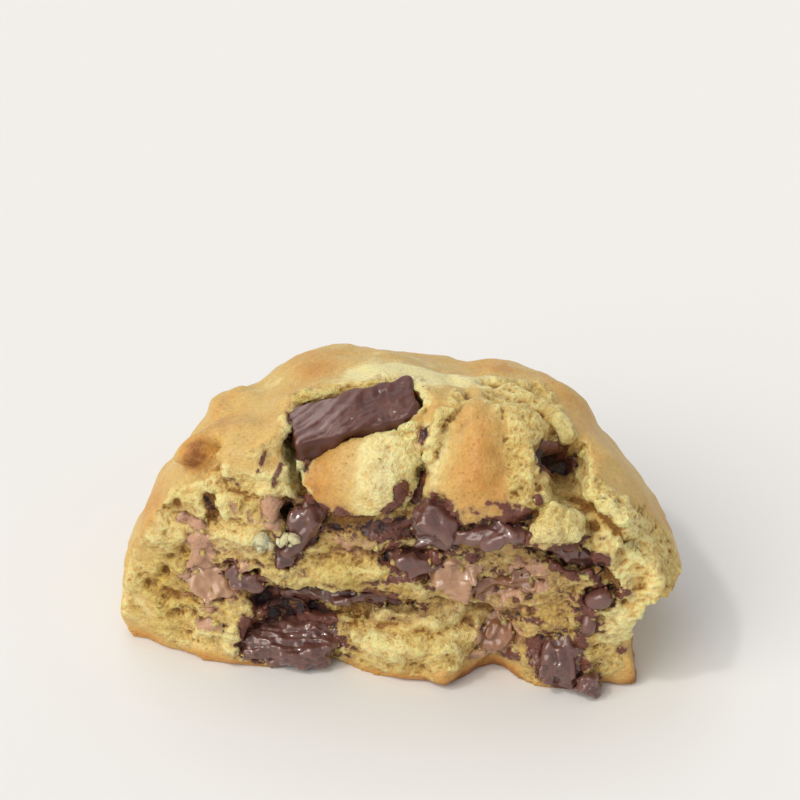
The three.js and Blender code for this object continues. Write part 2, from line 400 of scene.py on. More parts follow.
@dataclass(frozen=True)
class BakedDough:
    """Butter cookie dough, baked: dry golden crust outside, soft yellow crumb where it was torn.

    The crust is a fine dry skin with pin holes, browner on its knobs; the crumb is matt and lets light
    in a little; melted chocolate left on either is a thin satin film.
    """

    pale: str = "E8DA9C"
    crust: str = "D1AF67"
    amber: str = "C99348"
    burnt: str = "955A22"
    # Crumb colours: painted shade for hollows, its own yellow, and pale crumb that also stands for painted
    # light on crests
    crumb_shade: str = "A97839"
    crumb: str = "E6C476"
    crumb_light: str = "FCECA6"
    floury: str = "F6EFC4"
    damp: str = "DACF9E"
    milk_soaked: str = "B99064"
    dark_soaked: str = "94704A"
    # Chocolate films: their own colour, and a darker one that is painted shade where the film lies in
    # hollows and cracks
    milk_film: str = "C0967A"
    milk_film_shade: str = "84583E"
    dark_film: str = "6E4032"
    dark_film_shade: str = "3A2A2B"
    # Sizes in millimetres: blotches and specks of browning, sugar crystals, grains of crumb and pin holes,
    # and how deep light goes in
    blotch: float = 5.0
    speck: float = 1.2
    sugar: float = 0.55
    grain: float = 0.55
    pin_hole: float = 0.9
    light_depth: float = 2.0

    def make(self) -> bpy.types.Material:
        """Builds the material."""
        material, add, place = empty_material("baked_butter_dough")
        torn, baked, dark, milk, relief, moist = (
            add("Attribute", {"attribute_name": mask.value}, out=2)
            for mask in (Paint.TORN, Paint.BAKED, Paint.DARK, Paint.MILK, Paint.RELIEF, Paint.DAMP_AND_LIT)
        )
        blotch = add("TexNoise", {"Scale": per_mm(self.blotch), "Detail": 5.0}, {"Vector": place})
        speck = add("TexNoise", {"Scale": per_mm(self.speck), "Detail": 3.0}, {"Vector": place})
        grain = add("TexVoronoi", {"Scale": per_mm(self.grain)}, {"Vector": place})
        settings = {"Scale": per_mm(self.sugar), "Detail": 3.0, "Roughness": 0.65}
        sugar = add("TexNoise", settings, {"Vector": place})
        holes = add("TexVoronoi", {"Scale": per_mm(self.pin_hole)}, {"Vector": place})

        # Browning wanders with soft blotches; the crumb is lighter on its grains and crests and darker
        # between them and in its hollows: specks and sugar grains of its own, with painted light and painted
        # shade from the painted shading mask
        uneven = add("Math", {"operation": "MULTIPLY_ADD", 1: 0.6, 2: -0.4}, {0: blotch})
        uneven = add("Math", {"operation": "MULTIPLY_ADD", 1: 0.2}, {0: speck, 2: uneven})
        bake = add("Math", {"operation": "ADD"}, {0: baked, 1: uneven})
        specks = add("Math", {"operation": "MULTIPLY_ADD", 1: 0.5, 2: -0.25}, {0: speck})
        height = add("Math", {"operation": "ADD"}, {0: relief, 1: specks})
        height = add("Math", {"operation": "MULTIPLY_ADD", 1: 0.8}, {0: sugar, 2: height})
        height = add("Math", {"operation": "SUBTRACT", 1: 0.4}, {0: height})
        film = add("Math", {"operation": "MAXIMUM"}, {0: dark, 1: milk})
        crust_layers = ((0.12, 0.34, self.crust), (0.40, 0.72, self.amber), (0.76, 1.00, self.burnt))
        crumb_layers = ((0.12, 0.42, self.crumb), (0.46, 0.92, self.crumb_light))
        ramps = (bake, self.pale, crust_layers), (height, self.crumb_shade, crumb_layers)
        colours = []
        for value, base, layers in ramps:
            colour = add("RGB", {})
            colour.default_value = srgb(base)
            for low, high, tint in layers:
                share = add("MapRange", {1: low, 2: high}, {0: value})
                colour = add("Mix", {"data_type": "RGBA", 7: srgb(tint)}, {0: share, 6: colour}, out=2)
            colours.append(colour)
        crust, crumb = colours
        sandy = add("MapRange", {1: 0.3, 2: 0.7, 3: 0.84, 4: 1.08}, {0: sugar})
        settings = {"data_type": "RGBA", "blend_type": "MULTIPLY", 0: 1.0}
        crust = add("Mix", settings, {6: crust, 7: sandy}, out=2)
        settings = {"data_type": "RGBA", "blend_type": "MULTIPLY", 7: srgb(self.damp)}
        crumb = add("Mix", settings, {0: moist, 6: crumb}, out=2)
        dry = add("MapRange", {1: 0.1, 2: -0.4, 4: 0.75}, {0: baked})
        crumb = add("Mix", {"data_type": "RGBA", 7: srgb(self.floury)}, {0: dry, 6: crumb}, out=2)
        colour = add("Mix", {"data_type": "RGBA"}, {0: torn, 6: crust, 7: crumb}, out=2)
        # Films are painted darker where they lie in hollows and cracks, painted shade, by the painted
        # shading mask
        film_thick_and_lit = add("MapRange", {1: 0.2, 2: 0.6}, {0: relief})
        for mask, soaked, film_shade, stain in (
            (milk, self.milk_soaked, self.milk_film_shade, self.milk_film),
            (dark, self.dark_soaked, self.dark_film_shade, self.dark_film),
        ):
            settings = {"data_type": "RGBA", 6: srgb(film_shade), 7: srgb(stain)}
            stain = add("Mix", settings, {0: film_thick_and_lit}, out=2)
            soaked_rgb = add("RGB", {})
            soaked_rgb.default_value = srgb(soaked)
            ragged = add("Math", {"operation": "MULTIPLY_ADD", 1: 1.8}, {0: specks, 2: mask})
            ragged = add("Math", {"operation": "MULTIPLY_ADD", 1: 0.6}, {0: sugar, 2: ragged})
            ragged = add("Math", {"operation": "SUBTRACT", 1: 0.3}, {0: ragged})
            for low, high, most, tint in ((0.1, 0.5, 0.55, soaked_rgb), (0.46, 0.6, 1.0, stain)):
                share = add("MapRange", {1: low, 2: high, 4: most}, {0: ragged})
                colour = add("Mix", {"data_type": "RGBA"}, {0: share, 6: colour, 7: tint}, out=2)

        # Pin holes in the crust and sugary grain in the crumb, both too small for the mesh
        pits = add("MapRange", {1: 0.05, 2: 0.3}, {0: holes})
        rough_skin = add("Math", {"operation": "MULTIPLY_ADD", 1: 0.6}, {0: grain, 2: pits})
        skin = add("Bump", {"Distance": 0.16 * MM}, {"Height": rough_skin})
        bare = add("MapRange", {1: 0.4, 2: 0.6, 3: 1.0, 4: 0.12}, {0: film})
        bare = add("Math", {"operation": "MULTIPLY"}, {0: bare, 1: torn})
        crumbs = add("Math", {"operation": "MULTIPLY"}, {0: sugar, 1: bare})
        bump = add("Bump", {"Distance": 0.9 * MM}, {"Height": crumbs, "Normal": skin})
        gloss = add("MapRange", {1: 0.45, 2: 0.62, 3: 0.5, 4: 0.16}, {0: film})
        settings = {
            "Subsurface Weight": 0.5,
            "Subsurface Radius": (1.0, 0.65, 0.28),
            "Subsurface Scale": self.light_depth * MM,
            "Specular IOR Level": 0.45,
        }
        links = {"Base Color": colour, "Roughness": gloss, "Normal": bump}
        add("OutputMaterial", {}, {"Surface": add("BsdfPrincipled", settings, links)})
        return material


@dataclass(frozen=True)
class Chocolate:
    """Couverture that melted in the oven and half set again: dense, satin, wet-looking where it was torn.

    Its own colour hardly varies; light shows on ridges and dimples where it was pulled and smeared, and its
    colour is painted lighter on ridges, a painted highlight, and darker in hollows, painted shade.
    """

    name: str
    # Its own colour, then a painted highlight for its ridges and painted shade for its hollows
    body: str
    painted_highlight: str
    shade: str
    roughness: float
    # Millimetres between the ripples where it was pulled
    pulled: float = 1.4
    coat: float = 1.0
    # Width in millimetres of smears, and of the fine dimples of its skin
    smeared: float = 4.0
    fine: float = 0.4

    def make(self) -> bpy.types.Material:
        """Builds the material."""
        material, add, place = empty_material(self.name)
        settings = {"Scale": per_mm(self.smeared), "Detail": 4.0, "Distortion": 0.6}
        smear = add("TexNoise", settings, {"Vector": place})
        settings = {"Scale": per_mm(self.pulled), "Detail": 3.0, "Distortion": 0.8}
        ripple = add("TexNoise", settings, {"Vector": place})
        fine = add("TexNoise", {"Scale": per_mm(self.fine), "Detail": 2.0}, {"Vector": place})
        # Painted shading: the colour runs from painted shade in hollows through the body to a painted
        # highlight on ridges, by the painted shading mask and a smear noise
        relief = add("Attribute", {"attribute_name": Paint.RELIEF.value}, out=2)
        uneven = add("Math", {"operation": "MULTIPLY_ADD", 1: 0.5, 2: -0.25}, {0: smear})
        height = add("Math", {"operation": "ADD"}, {0: relief, 1: uneven})
        share = add("MapRange", {1: 0.2, 2: 0.52}, {0: height})
        settings = {"data_type": "RGBA", 6: srgb(self.shade), 7: srgb(self.body)}
        colour = add("Mix", settings, {0: share}, out=2)
        light = add("MapRange", {1: 0.56, 2: 0.85, 4: 0.7}, {0: height})
        settings = {"data_type": "RGBA", 7: srgb(self.painted_highlight)}
        colour = add("Mix", settings, {0: light, 6: colour}, out=2)
        settings = {1: 0.35, 2: 0.65, 3: self.roughness - 0.12, 4: self.roughness + 0.14}
        gloss = add("MapRange", settings, {0: smear})
        wave = add("Bump", {"Distance": 0.25 * MM, "Strength": 0.6}, {"Height": ripple})
        bump = add("Bump", {"Distance": 0.05 * MM}, {"Height": fine, "Normal": wave})
        settings = {"IOR": 1.5, "Coat Weight": self.coat, "Coat Roughness": 0.07}
        links = {"Base Color": colour, "Roughness": gloss, "Normal": bump}
        add("OutputMaterial", {}, {"Surface": add("BsdfPrincipled", settings, links)})
        return material


@dataclass(frozen=True)
class PaperFloor:
    """Matt white paper, the plain pale ground the cookie lies on."""

    colour: str = "E4E3E0"

    def make(self) -> bpy.types.Material:
        """Builds the material."""
        material, add, place = empty_material("matt_paper")
        fibre = add("TexNoise", {"Scale": per_mm(3.0), "Detail": 3.0}, {"Vector": place})
        bump = add("Bump", {"Distance": 0.02 * MM, "Strength": 0.3}, {"Height": fibre})
        settings = {"Base Color": srgb(self.colour), "Roughness": 0.9, "Specular IOR Level": 0.1}
        shader = add("BsdfPrincipled", settings, {"Normal": bump})
        add("OutputMaterial", {}, {"Surface": shader})
        return material


# The cookie


@dataclass(frozen=True)
class Plate:
    """A plate of crust that cracked off over the tear: an uneven ellipsoid, its top the baked side.

    Attributes:
        at: Its middle, in millimetres.
        size: Its length, depth and thickness, in millimetres.
        turn: Its tilt about X, Y and Z, in degrees.
        boxiness: 2 for an ellipsoid, more for a block with round edges.
        torn_beyond: Share of its half length past which the crust is torn off.
        fading: How gradually the crust ends there.
        overhang: How far from upright the crust goes on: the least share of the normal that is up.
    """

    at: Point
    size: Point
    turn: Point
    boxiness: float
    torn_beyond: float = 0.9
    fading: float = 0.08
    overhang: float = 0.0

    def local(self, vectors: np.ndarray) -> np.ndarray:
        """Turns vectors into the plate's own axes."""
        return vectors @ turned(self.turn)

    def crust(self, points: np.ndarray, normals: np.ndarray) -> np.ndarray:
        """Where the baked side of the plate is: 1 on it, 0 on torn edges and everything else."""
        q = self.local(points - np.asarray(self.at)) / (np.asarray(self.size) / 2)
        reach = (np.abs(q) ** self.boxiness).sum(axis=1) ** (1 / self.boxiness)
        skin = smoothstep(reach, 0.72, 0.86) * (1 - smoothstep(reach, 1.2, 1.34))
        ragged = q[:, 0] + (0.06 + 0.8 * self.fading) * fractal(points, 2.6, 5.0)
        return skin * smoothstep(self.local(normals)[:, 2], self.overhang, self.overhang + 0.35) * (
            1 - smoothstep(ragged, self.torn_beyond - self.fading, self.torn_beyond + self.fading)
        )


# Cracks in the dough: line, width and depth; a negative depth makes a ridge. The depth of each crack also
# paints shade down it, painted shade in the painted shading mask.
STROKES: tuple[Mark, ...] = (
    # Brown knob on the left shoulder
    (((-35, 2, 41), (-36, 2.4, 39)), 1.6, -3),
    (((-32.6, 2, 42.6), (-33.4, 0.6, 39), (-34.6, 0.4, 37.2)), 0.9, 1.8),
    (((-34.2, 20, 37.6), (-31.5, 21.1, 39.2)), 2.8, -2.2),
    (((-30.8, 13, 43), (-31.6, 5, 44.5), (-32.6, 1.9, 43.3)), 1.7, 1.3),
    # The pale clump under the hollow on the right, and the shadow round it
    (((25.4, -1.6, 33.6), (28.8, -0.8, 34.2)), 3.4, -2.2),
    (((22.6, -1, 34.6), (24, -2, 31.6), (28, -2.4, 30.6), (31.6, -1.6, 31.8)), 1, 1.8),
    # Right rim: the torn lip, the shadow under it and the cracks along its inner side
    (((24.9, 15.5, 42.9), (27.2, 14, 38.9), (29.7, 10, 37), (32.5, 3.5, 37.9),
            (39.3, 4.2, 33.2)), 2.2, -0.9),
    (((29.9, 7, 34.3), (32.7, 2.8, 34.4), (36, 1.6, 34), (38.3, 1.3, 32.4),
            (41.2, 2, 28.6)), 1.3, 2.4),
    (((13.5, 23.2, 45.8), (18.1, 23.3, 44.6), (22.3, 21.3, 43.8), (25, 16.5, 42.9)), 1.3, -0.7),
    (((12, 21.6, 46.5), (15.3, 20.3, 46.1), (18.6, 18.4, 45.6), (21.7, 19, 43.4)), 1, 2),
    # The raised plate on the right: ragged edges, crest and granular side
    (((10, 12.8, 49.3), (8.2, 5.9, 49.4), (6.6, 3.7, 45), (5.1, 2.1, 39.7)), 1.1, 1.3),
    (((10.9, 11, 49.4), (12.2, 7.1, 47.9), (13, 3.6, 45.4), (13.3, -0.6, 42.2)), 3, -1.5),
    (((14.8, 15.5, 47.6), (16.8, 6.5, 47.9), (16.7, 3.6, 45.4), (18.4, 1.2, 43.6)), 0.9, 0.7),
    (((23.2, 18.3, 44.1), (24.5, 12.3, 44.3), (23.9, 5.5, 43.6), (24.2, 1.6, 40.8)), 1.2, 1),
    (((4.8, 22.8, 47.4), (8.2, 18.6, 48.1), (10.2, 13.7, 49.1)), 0.8, 1),
    (((-20.6, 8.6, 46.6), (-18.6, 4.6, 45.8), (-17.6, 3, 43.4)), 1.5, -1.8),
    # Between the plates
    (((3.2, 7.6, 49.6), (3.4, 4.8, 46.5)), 1, 1.8),
    (((3.5, 7.1, 40.2), (3.4, 6.9, 38), (3, 4.2, 36.5)), 2.4, -2),
    (((-17.2, 3, 42.5), (-17.9, 5.6, 35.5)), 2.2, -2.7),
    (((2.7, 30, 46.4), (7, 33, 44)), 3.6, 1.5),
    (((12, 31, 44.4), (12.8, 33, 43.4)), 1.8, -1.2),
    (((5.9, -4.6, 35.2), (9.5, -4.3, 32.8), (14.8, -5.2, 34), (19.4, -4.4, 34.8),
            (23.4, -1.5, 36.4)), 1.4, 1.6),
    (((-15.4, -2.2, 32.6), (-11.8, 0.2, 30.4), (-7.9, -0.3, 29.9), (-2.7, -2, 32),
            (0.7, -2, 34.4)), 1.4, 2),
    (((-15.9, 2.8, 41.5), (-16.4, 4.8, 36), (-16.2, 0.4, 34.2)), 0.9, 1.2),
    (((-9, 1, 43), (-8, -2, 38.5)), 5, -0.8),
    (((24.4, 8, 42.4), (25.6, 9, 40.4), (26.2, 11, 38.4)), 1.9, 2.6),
    # The plate on the left and the step behind it
    (((-21.1, 8.2, 46.7), (-18.6, 3.7, 45.5), (-18, 3, 41.9), (-18.3, 4, 35.4)), 1, 1.2),
    (((-31.7, -1.1, 38.6), (-29.5, -1.8, 36.4), (-26, -2.2, 35), (-22.9, -2.5, 34.3),
            (-19.2, -1.5, 34.8)), 1, 1.1),
    (((-33, 2.2, 43.3), (-32.2, -0.5, 40.7), (-31.6, -1.2, 38.6)), 1.1, 1.6),
    (((-41.3, -0.3, 30.6), (-38.9, 0.4, 29.1), (-36.1, -0.5, 29.2), (-33.3, -1.9, 31)), 1.1, 0.5),
    # Folds and crevices of the torn face
    (((-32.7, -1.7, 33.5), (-31.8, -2.3, 31.5), (-31.5, -2.4, 29.9)), 1, 3.2),
    (((-41.2, -1.8, 11.1), (-37.2, -2.6, 12.7), (-33, -3.6, 14.5)), 1.2, 1.3),
    (((-39.8, -2.2, 8.3), (-37.2, -2.4, 8.9), (-35, -3, 8.3)), 1, 1),
    (((-33.1, -1.9, 27.6), (-29.5, -2.7, 28.9), (-26.9, -2.4, 29.4)), 1, 1),
    (((-18.6, -0.6, 32.6), (-18.2, 0.6, 30.6)), 1.2, 3),
    (((-21.6, -2.4, 33.8), (-21.6, -0.6, 31), (-21.4, -1.2, 29.4)), 1.7, -1.6),
    (((-21.8, -2.3, 9.3), (-17.2, -1.1, 10), (-12.1, 0.5, 9.9), (-6.2, 0.3, 11.2)), 1.4, 3.6),
    (((-24, -1.6, 12.2), (-20, -1, 12), (-15, 0.4, 11.6)), 1.5, 3),
    (((-10.6, -1.8, 13.8), (-4.8, 0.2, 12), (-0.5, -0.2, 12.4)), 1.4, -1),
    (((-8.4, -0.8, 9.6), (-3, -1.2, 10.4), (1.5, -1.6, 10.6)), 1, 1.5),
    (((-10.8, 0.2, 9.6), (-3, -1.1, 11.2), (5.8, -1, 12.2), (11.3, -1.1, 14.6)), 1.1, -1.1),
    (((-9.2, -0.9, 7.9), (-2.7, -2.7, 9.4), (2.6, -3.1, 9.6), (7.7, -1.9, 10),
            (12.6, 0.4, 10.4)), 0.9, 1),
    (((1, -2.1, 10.6), (4.2, -2, 10.7), (7.1, -1.5, 10.9)), 0.7, -0.8),
    (((-9.7, -0.8, 4), (-5.2, -2.6, 6), (0.3, -3, 6.6), (4.4, -3.1, 6.4),
            (9.5, -2.1, 6.2)), 2.2, -1.2),
    (((-11.5, -2.5, 19.8), (-7.6, -2.3, 21.8), (-4.2, -1.9, 22.8), (0.3, -2.1, 22),
            (4.2, -2.6, 20.2)), 1.6, -1),
    (((-11.8, -1.1, 24), (-6.4, -1.6, 25), (-1.6, -1.8, 24.4)), 1, 1.2),
    (((7.5, -1.3, 15.8), (12.5, 0.6, 14), (17.6, 1, 13), (23.1, -1.3, 15.2)), 1, 1.4),
    (((40.8, -1.3, 18.9), (37.5, -1.4, 20.5), (36.2, -1.2, 24)), 1, 1.3),
    (((29, -2.6, 27.5), (33.5, -1, 26), (36.5, -1, 24.5)), 1, 1.4),
)

PLATES = (
    Plate((-26, 6, 36.6), (21, 16, 16), (-25, 8, 0), 2.4, 0.7, 0.12, -0.2),
    Plate((-7, 5.6, 38), (21.5, 19, 12.5), (38, -8, -6), 2.5, 0.3, 0.17),
    Plate((15, 7, 39), (20.5, 22.5, 14), (42, -2, 0), 3, 0.55, 0.14),
    Plate((5.4, 13, 43.6), (8, 19, 11), (12, 0, 0), 2.4, 1.3),
)

# Dough pressed down, as under the corner of the slab: place, radius and depth
PRESSED = (((1.4, 6, 49.4), (2.8, 3, 3), 2.6),)

# Where the torn dough is smooth: place and radius
CALM = (((26.4, 10, 38), (3.6, 6, 5)), ((2, -1, 11), (12, 5, 1.2)))

# Crust broken away, so that crumb shows: line and reach
BROKEN = (
    (((20.6, 25.3, 43.2), (23.3, 20.3, 43.5), (25.3, 15, 42.9), (26.8, 16, 36.4)), 2),
    (((28, 10, 38), (31, 6.5, 37), (34.8, 3.5, 37), (39.9, 5.1, 32.3), (44.2, 7.8, 27)), 2.5),
    (((44.2, 7.8, 27), (46.4, 6, 22)), 1.8),
    (((-19.5, 11.6, 47), (-13.9, 13.6, 47.9), (-8.1, 15.3, 48.6), (-2.7, 18, 48.6), (0.6, 17.6, 48.8)), 0.8),
    (((2.6, 13, 50), (3, 8, 50)), 0.6),
    (((20.8, 8.5, 47), (20.4, 4, 45), (22.6, 0, 41)), 3.6),
    (((14.2, 16.5, 47.3), (17.8, 12, 48)), 2.4),
    (((12.9, 20, 46.8), (16, 22.6, 45), (20.5, 20, 44.5)), 2.2),
    (((7.6, 15, 49.2), (6.6, 8, 48)), 0.7),
    (((6.6, 8, 48), (5.6, 5, 46.6), (4.2, 6.1, 41.5)), 1.4),
    (((10, 13.4, 49.4), (8.2, 9, 49.6)), 0.7),
    (((1.4, 5.6, 46.5), (0.6, 2, 42), (0.2, -0.6, 39.2)), 1.3),
    (((-1.8, 2.6, 44.6), (-2.6, -1, 41)), 0.9),
    (((-18.6, 6, 45.8), (-18.2, 3.2, 43), (-18.8, 2.6, 39)), 2.4),
    (((-30, -1, 38.2), (-25, -1.8, 37.3), (-20.5, -0.6, 37.6)), 2.3),
    (((-17.2, 3, 43), (-17.9, 5.6, 36), (-17.2, 0, 34.7)), 2.2),
    (((-38, 0.1, 31.2), (-34.1, -0.9, 34.2), (-31.2, -2, 33.9), (-24.3, -2.2, 33.8)), 2.6),
    (((-13.5, -2, 31.4), (-8.5, -1.2, 30.2), (-3, -1.5, 31.6)), 3),
    (((33.5, 1.5, 33.5), (36, 1, 30), (38.5, 1, 27)), 2.8),
    (((37.6, 1.2, 33.2), (42.1, 1.3, 27.3), (45.3, 1.5, 23.5)), 2.4),
    (((41.7, -0.1, 21.9), (43.8, 0.4, 18)), 2.6),
    (((-47, 3.5, 14), (-48, 4.5, 8)), 1.3),
)

# Brown underside that shows at the foot of the torn face: line and reach
SKINNED = (
    (((-48.3, 0.2, 1.4), (-39.6, -2.5, 0.6), (-35.7, -3.8, 1)), 0.8),
    (((-35.7, -3.8, 1), (-31.9, -4.5, 1.4), (-28.2, -5.1, 1)), 1.5),
    (((-4, -3.9, 1), (2.9, -4.6, 1.3)), 0.9),
    (((8.3, -6, 2.6), (10.8, -5, 2.4), (13.5, -0.7, 1.6), (17.9, 1.6, 2), (21.7, -1.2, 3)), 1.5),
    (((41.2, 0, 9.5), (41.4, -0.2, 5), (39.8, -0.5, 2.4), (36.2, -0.6, 1.2)), 2.2),
)

# Browning: place, radius and strength, over an even bake of the whole crust
BROWNED = (
    ((-35.2, 2, 40.8), (2, 2.6, 2), 0.9),
    ((-36.2, 2.4, 38.6), (2, 2.6, 2), 0.55),
    ((-33, 8, 43), (5, 8, 5), 0.14),
    ((26, 20, 42), (10, 12, 6), 0.06),
    ((-44, 2, 29), (4, 6, 4), 0.2),
    ((-47.5, 2, 14), (3, 6, 5), 0.2),
    ((-18, 22, 45.5), (5.2, 4.5, 4.2), 0.4),
    ((-30, 14, 41), (9, 9, 9), 0.10),
    ((-15.4, 1, 39.9), (3.6, 5, 5), 0.24),
    ((-12.4, -1.5, 35.7), (5, 4, 4), 0.24),
    ((-14.2, -0.8, 37.4), (1.6, 3, 1.4), 0.16),
    ((-10.6, -2.2, 34.2), (1.8, 3, 1), 0.2),
    ((-9, 0, 42), (5, 5, 5), 0.10),
    ((12.6, 5, 46.5), (3.6, 7, 5), 0.30),
    ((12.5, -2, 40), (7, 5, 5), 0.28),
    ((19, 0, 41), (6, 6, 5), 0.16),
    ((5.5, 10.4, 50), (2.2, 4, 3), 0.16),
    ((12, 33, 44), (4, 4, 4), 0.35),
    ((30, 30, 38), (14, 12, 10), 0.16),
    ((44, 14, 22), (8, 12, 10), 0.14),
    ((46, 8, 14), (5, 8, 5), 0.24),
    ((43, 0, 5), (4, 5, 6), 0.2),
    ((14, -2, 1.5), (9, 6, 3), 0.3),
    ((-45, 2, 26), (5, 5, 5), 0.18),
)

# Paler crust, and floury crumb: place, radius and strength
PALE = (
    ((-6.3, 20.1, 48.1), (11, 5, 5), 0.5),
    ((-2.4, 0, 43), (4.2, 7, 8), 0.5),
    ((1.6, 19.6, 48.6), (4, 7, 4), 0.4),
    ((14, 24, 45), (12, 6, 5), 0.4),
    ((-48, 4, 12), (6, 10, 9), 0.18),
    ((44, 6, 26), (5, 6, 6), 0.12),
    ((-28, 22, 41), (7, 5, 5), 0.12),
    ((6, 2, 42), (2.4, 6, 6), 0.3),
    ((-5, -2.5, 39), (3, 4, 3), 0.25),
    # Floury paler crumb on the wall beside the slab's foot: partly its own pale crumb, partly painted light
    # on a wall that lies in shade
    ((-17.8, 3, 38.5), (1.8, 5, 4), 0.6),
)

# Crumb that is damp and dark with butter: place, radius and strength. A negative strength makes the crumb
# paler by lifting its painted shading: partly its own dry, pale tone and partly painted light on crumb that
# lies in shade in recesses.
DAMP_AND_LIT = (
    ((-42, 0, 18), (7, 10, 9), 0.4),
    ((-41, -1, 26), (7, 8, 5), -0.6),
    ((-46.5, 1, 17), (3, 6, 5), -0.6),
    ((-34, -2, 12), (8, 10, 5), 0.4),
    ((-28, -2, 26), (6, 8, 4), -0.8),
    ((-30, -3, 6), (7, 8, 5), -0.9),
    ((4, 5, 44), (4, 8, 5), -0.5),
    ((14, 16, 46), (8, 9, 4), -0.5),
    ((40, 0, 24), (5, 8, 5), -0.4),
    ((5, -1, 12), (9, 6, 2.4), -0.9),
    ((26.4, 11, 36), (3, 5, 3), -0.5),
    ((-8, -2, 24), (8, 6, 3), 0.2),
    ((2, -2, 18), (12, 6, 3), 0.25),
    ((0, -2, 13), (14, 6, 2.5), 0.35),
    ((0, -3, 7), (10, 6, 3), -0.2),
    ((26, -1, 18), (8, 8, 10), 0.25),
    ((33, 2, 30), (7, 8, 5), 0.2),
    ((40, 0, 14), (5, 8, 7), -1.1),
    ((40, 3, 32), (7, 8, 6), -0.6),
    ((27, -1, 34), (4.5, 8, 3.5), -0.9),
    ((0.5, 0, 41), (4.5, 9, 9), -1),
    ((-22, 0, 39), (7, 9, 5), -0.8),
    ((-44, 2, 24), (4, 8, 4), -0.5),
    ((3.6, 6, 42), (3, 8, 8), -0.4),
    ((-17.5, 3, 40), (2.4, 6, 5), -0.9),
    ((-30, -2, 31), (8, 8, 2.4), -0.4),
    ((20, 4, 44), (6, 10, 6), 0.35),
)

# Melted chocolate wiped over the dough, and painted shade in some crevices, as marked: line, width and
# strength
DARK_SMEARS: tuple[Mark, ...] = (
    (((-13, -2.2, 30.8), (-9, -1.6, 29.6), (-5, -1.6, 30.4)), 1.6, 0.55),
    (((13, -1.6, 28.8), (16.5, -1.6, 27), (17.5, -1.2, 24.5)), 1.6, 0.52),
    (((28, -1.6, 23), (30, -1.6, 19), (28, -1.6, 14)), 1.8, 0.45),
    (((24.6, 8, 42.2), (25.6, 9, 40.4), (26.4, 11, 38.4)), 2.4, 1.1),
    (((3.1, 7, 45.2), (3, 7.3, 42.8)), 0.9, 1),
    (((3.4, 6.4, 37), (2.6, 3.3, 34.4)), 1, 1),
    (((-18.8, -0.8, 33), (-18.2, 0.6, 30.4)), 0.96, 1),
    (((-32.7, -1.7, 33.5), (-31.6, -2.3, 30.2)), 0.72, 0.9),
    (((-22.6, -2.4, 9.8), (-20.5, -2, 10.6), (-15.1, -0.4, 10.4)), 1.2, 1),
    (((-22.6, 0, 43.2), (-23.1, -0.7, 41.7), (-23.7, -1.5, 40.3)), 0.5, 0.58),
    (((-20.2, 0, 41.2), (-20.6, -0.9, 39.6), (-21, -1.8, 38)), 0.56, 0.68),
    # Painted shade: a thin dark line along a crevice on the left plate
    (((-28.9, -1.6, 38.3), (-27.2, -1.6, 37)), 0.4, 0.55),
    (((-19.4, 5.6, 46.2), (-20.2, 7.6, 46.8)), 0.6, 0.7),
    (((-16.4, 3.2, 41), (-16, 2.6, 38.6)), 0.7, 0.8),
    (((-16, -2, 33.5), (-12.9, -1.3, 33)), 1.4, 1),
    (((-9.4, -2.4, 34), (-7.8, -1.6, 32.4)), 1.2, 1),
    (((1, -0.4, 39), (0.1, -2.4, 37.2), (-1.2, -3, 35.6)), 1, 1),
    (((-2.9, -3.2, 33.9), (-6, -1.8, 32.6)), 0.72, 1),
    (((7.6, -5.1, 35), (13, -5.2, 34.7), (17.9, -3.7, 36.3), (22.2, -1.5, 37)), 1, 1),
    (((17.7, -2.8, 39.2), (20.5, -2.2, 38.5)), 0.72, 0.7),
    (((15.7, -2.8, 39.4),), 0.48, 1),
    (((12, -3.3, 37.6), (15, -3.4, 37.6)), 0.8, 0.55),
    (((23.7, -0.1, 38.9),), 0.8, 1),
    (((21.8, -0.5, 31.2), (26, -2, 30), (31, -2.1, 30.6)), 1.2, 1),
    (((32.9, -0.6, 28.3), (35.6, -0.4, 27.6)), 1, 1),
    (((27, -2, 26.5), (30.5, -1.5, 24.5)), 0.88, 0.8),
    (((22.7, -0.8, 18.4),), 0.56, 1),
    (((20.4, -0.8, 17.4),), 0.56, 1),
    (((5, -1, 31), (0.5, 0, 30.4), (-4, -0.5, 29.8)), 1.8, 1),
    (((-0.5, -2, 25.6), (2.6, -3.4, 25.1), (6.5, -1.6, 25.4)), 1.5, 1),
    (((-13.9, -2.3, 32), (-18.5, -3, 24)), 1.6, 1),
    (((-24.3, -0.8, 13.4), (-15.6, 0, 13), (-5.1, 1, 14.2), (-1, -0.5, 15.2)), 1.4, 1),
    # Chocolate film along the seam over the pool, laid on thickly to paint the dark crevice above the pool:
    # partly painted shade
    (((-23.3, -1.2, 11.4), (-18.8, -1.7, 10.1), (-13.8, -0.4, 9)), 2.2, 1.2),
    (((-26.4, -3.4, 8.6), (-22.5, -5.6, 5)), 1.6, 1),
    (((-12, -3.6, 8.6), (-9.6, -3.4, 7)), 1.3, 1),
    (((33.6, -3, 20), (33, -3.2, 14), (31, -3.8, 10.5)), 1.2, 1),
    (((24.5, -1.6, 9), (27, -3.4, 4), (33, -4.6, 2)), 1.6, 1),
    (((20.7, -0.8, 5.5), (18, -1.2, 5.4)), 0.96, 0.8),
    (((39.2, -0.5, 8.6),), 0.96, 0.8),
    (((-6.6, -1.4, 26.6), (-2, -1.6, 23.6)), 0.96, 0.5),
    (((-5.5, -2.2, 19.2), (-1, -2.6, 20.2)), 0.56, 0.6),
    (((-0.8, -3, 21.4), (5, -2.6, 22)), 0.64, 0.8),
    (((8, -1, 26.8), (14, -1, 26)), 0.8, 0.8),
    (((17.5, -1, 13.5), (22, -1, 14), (25, -1, 13.2)), 0.9, 0.6),
)

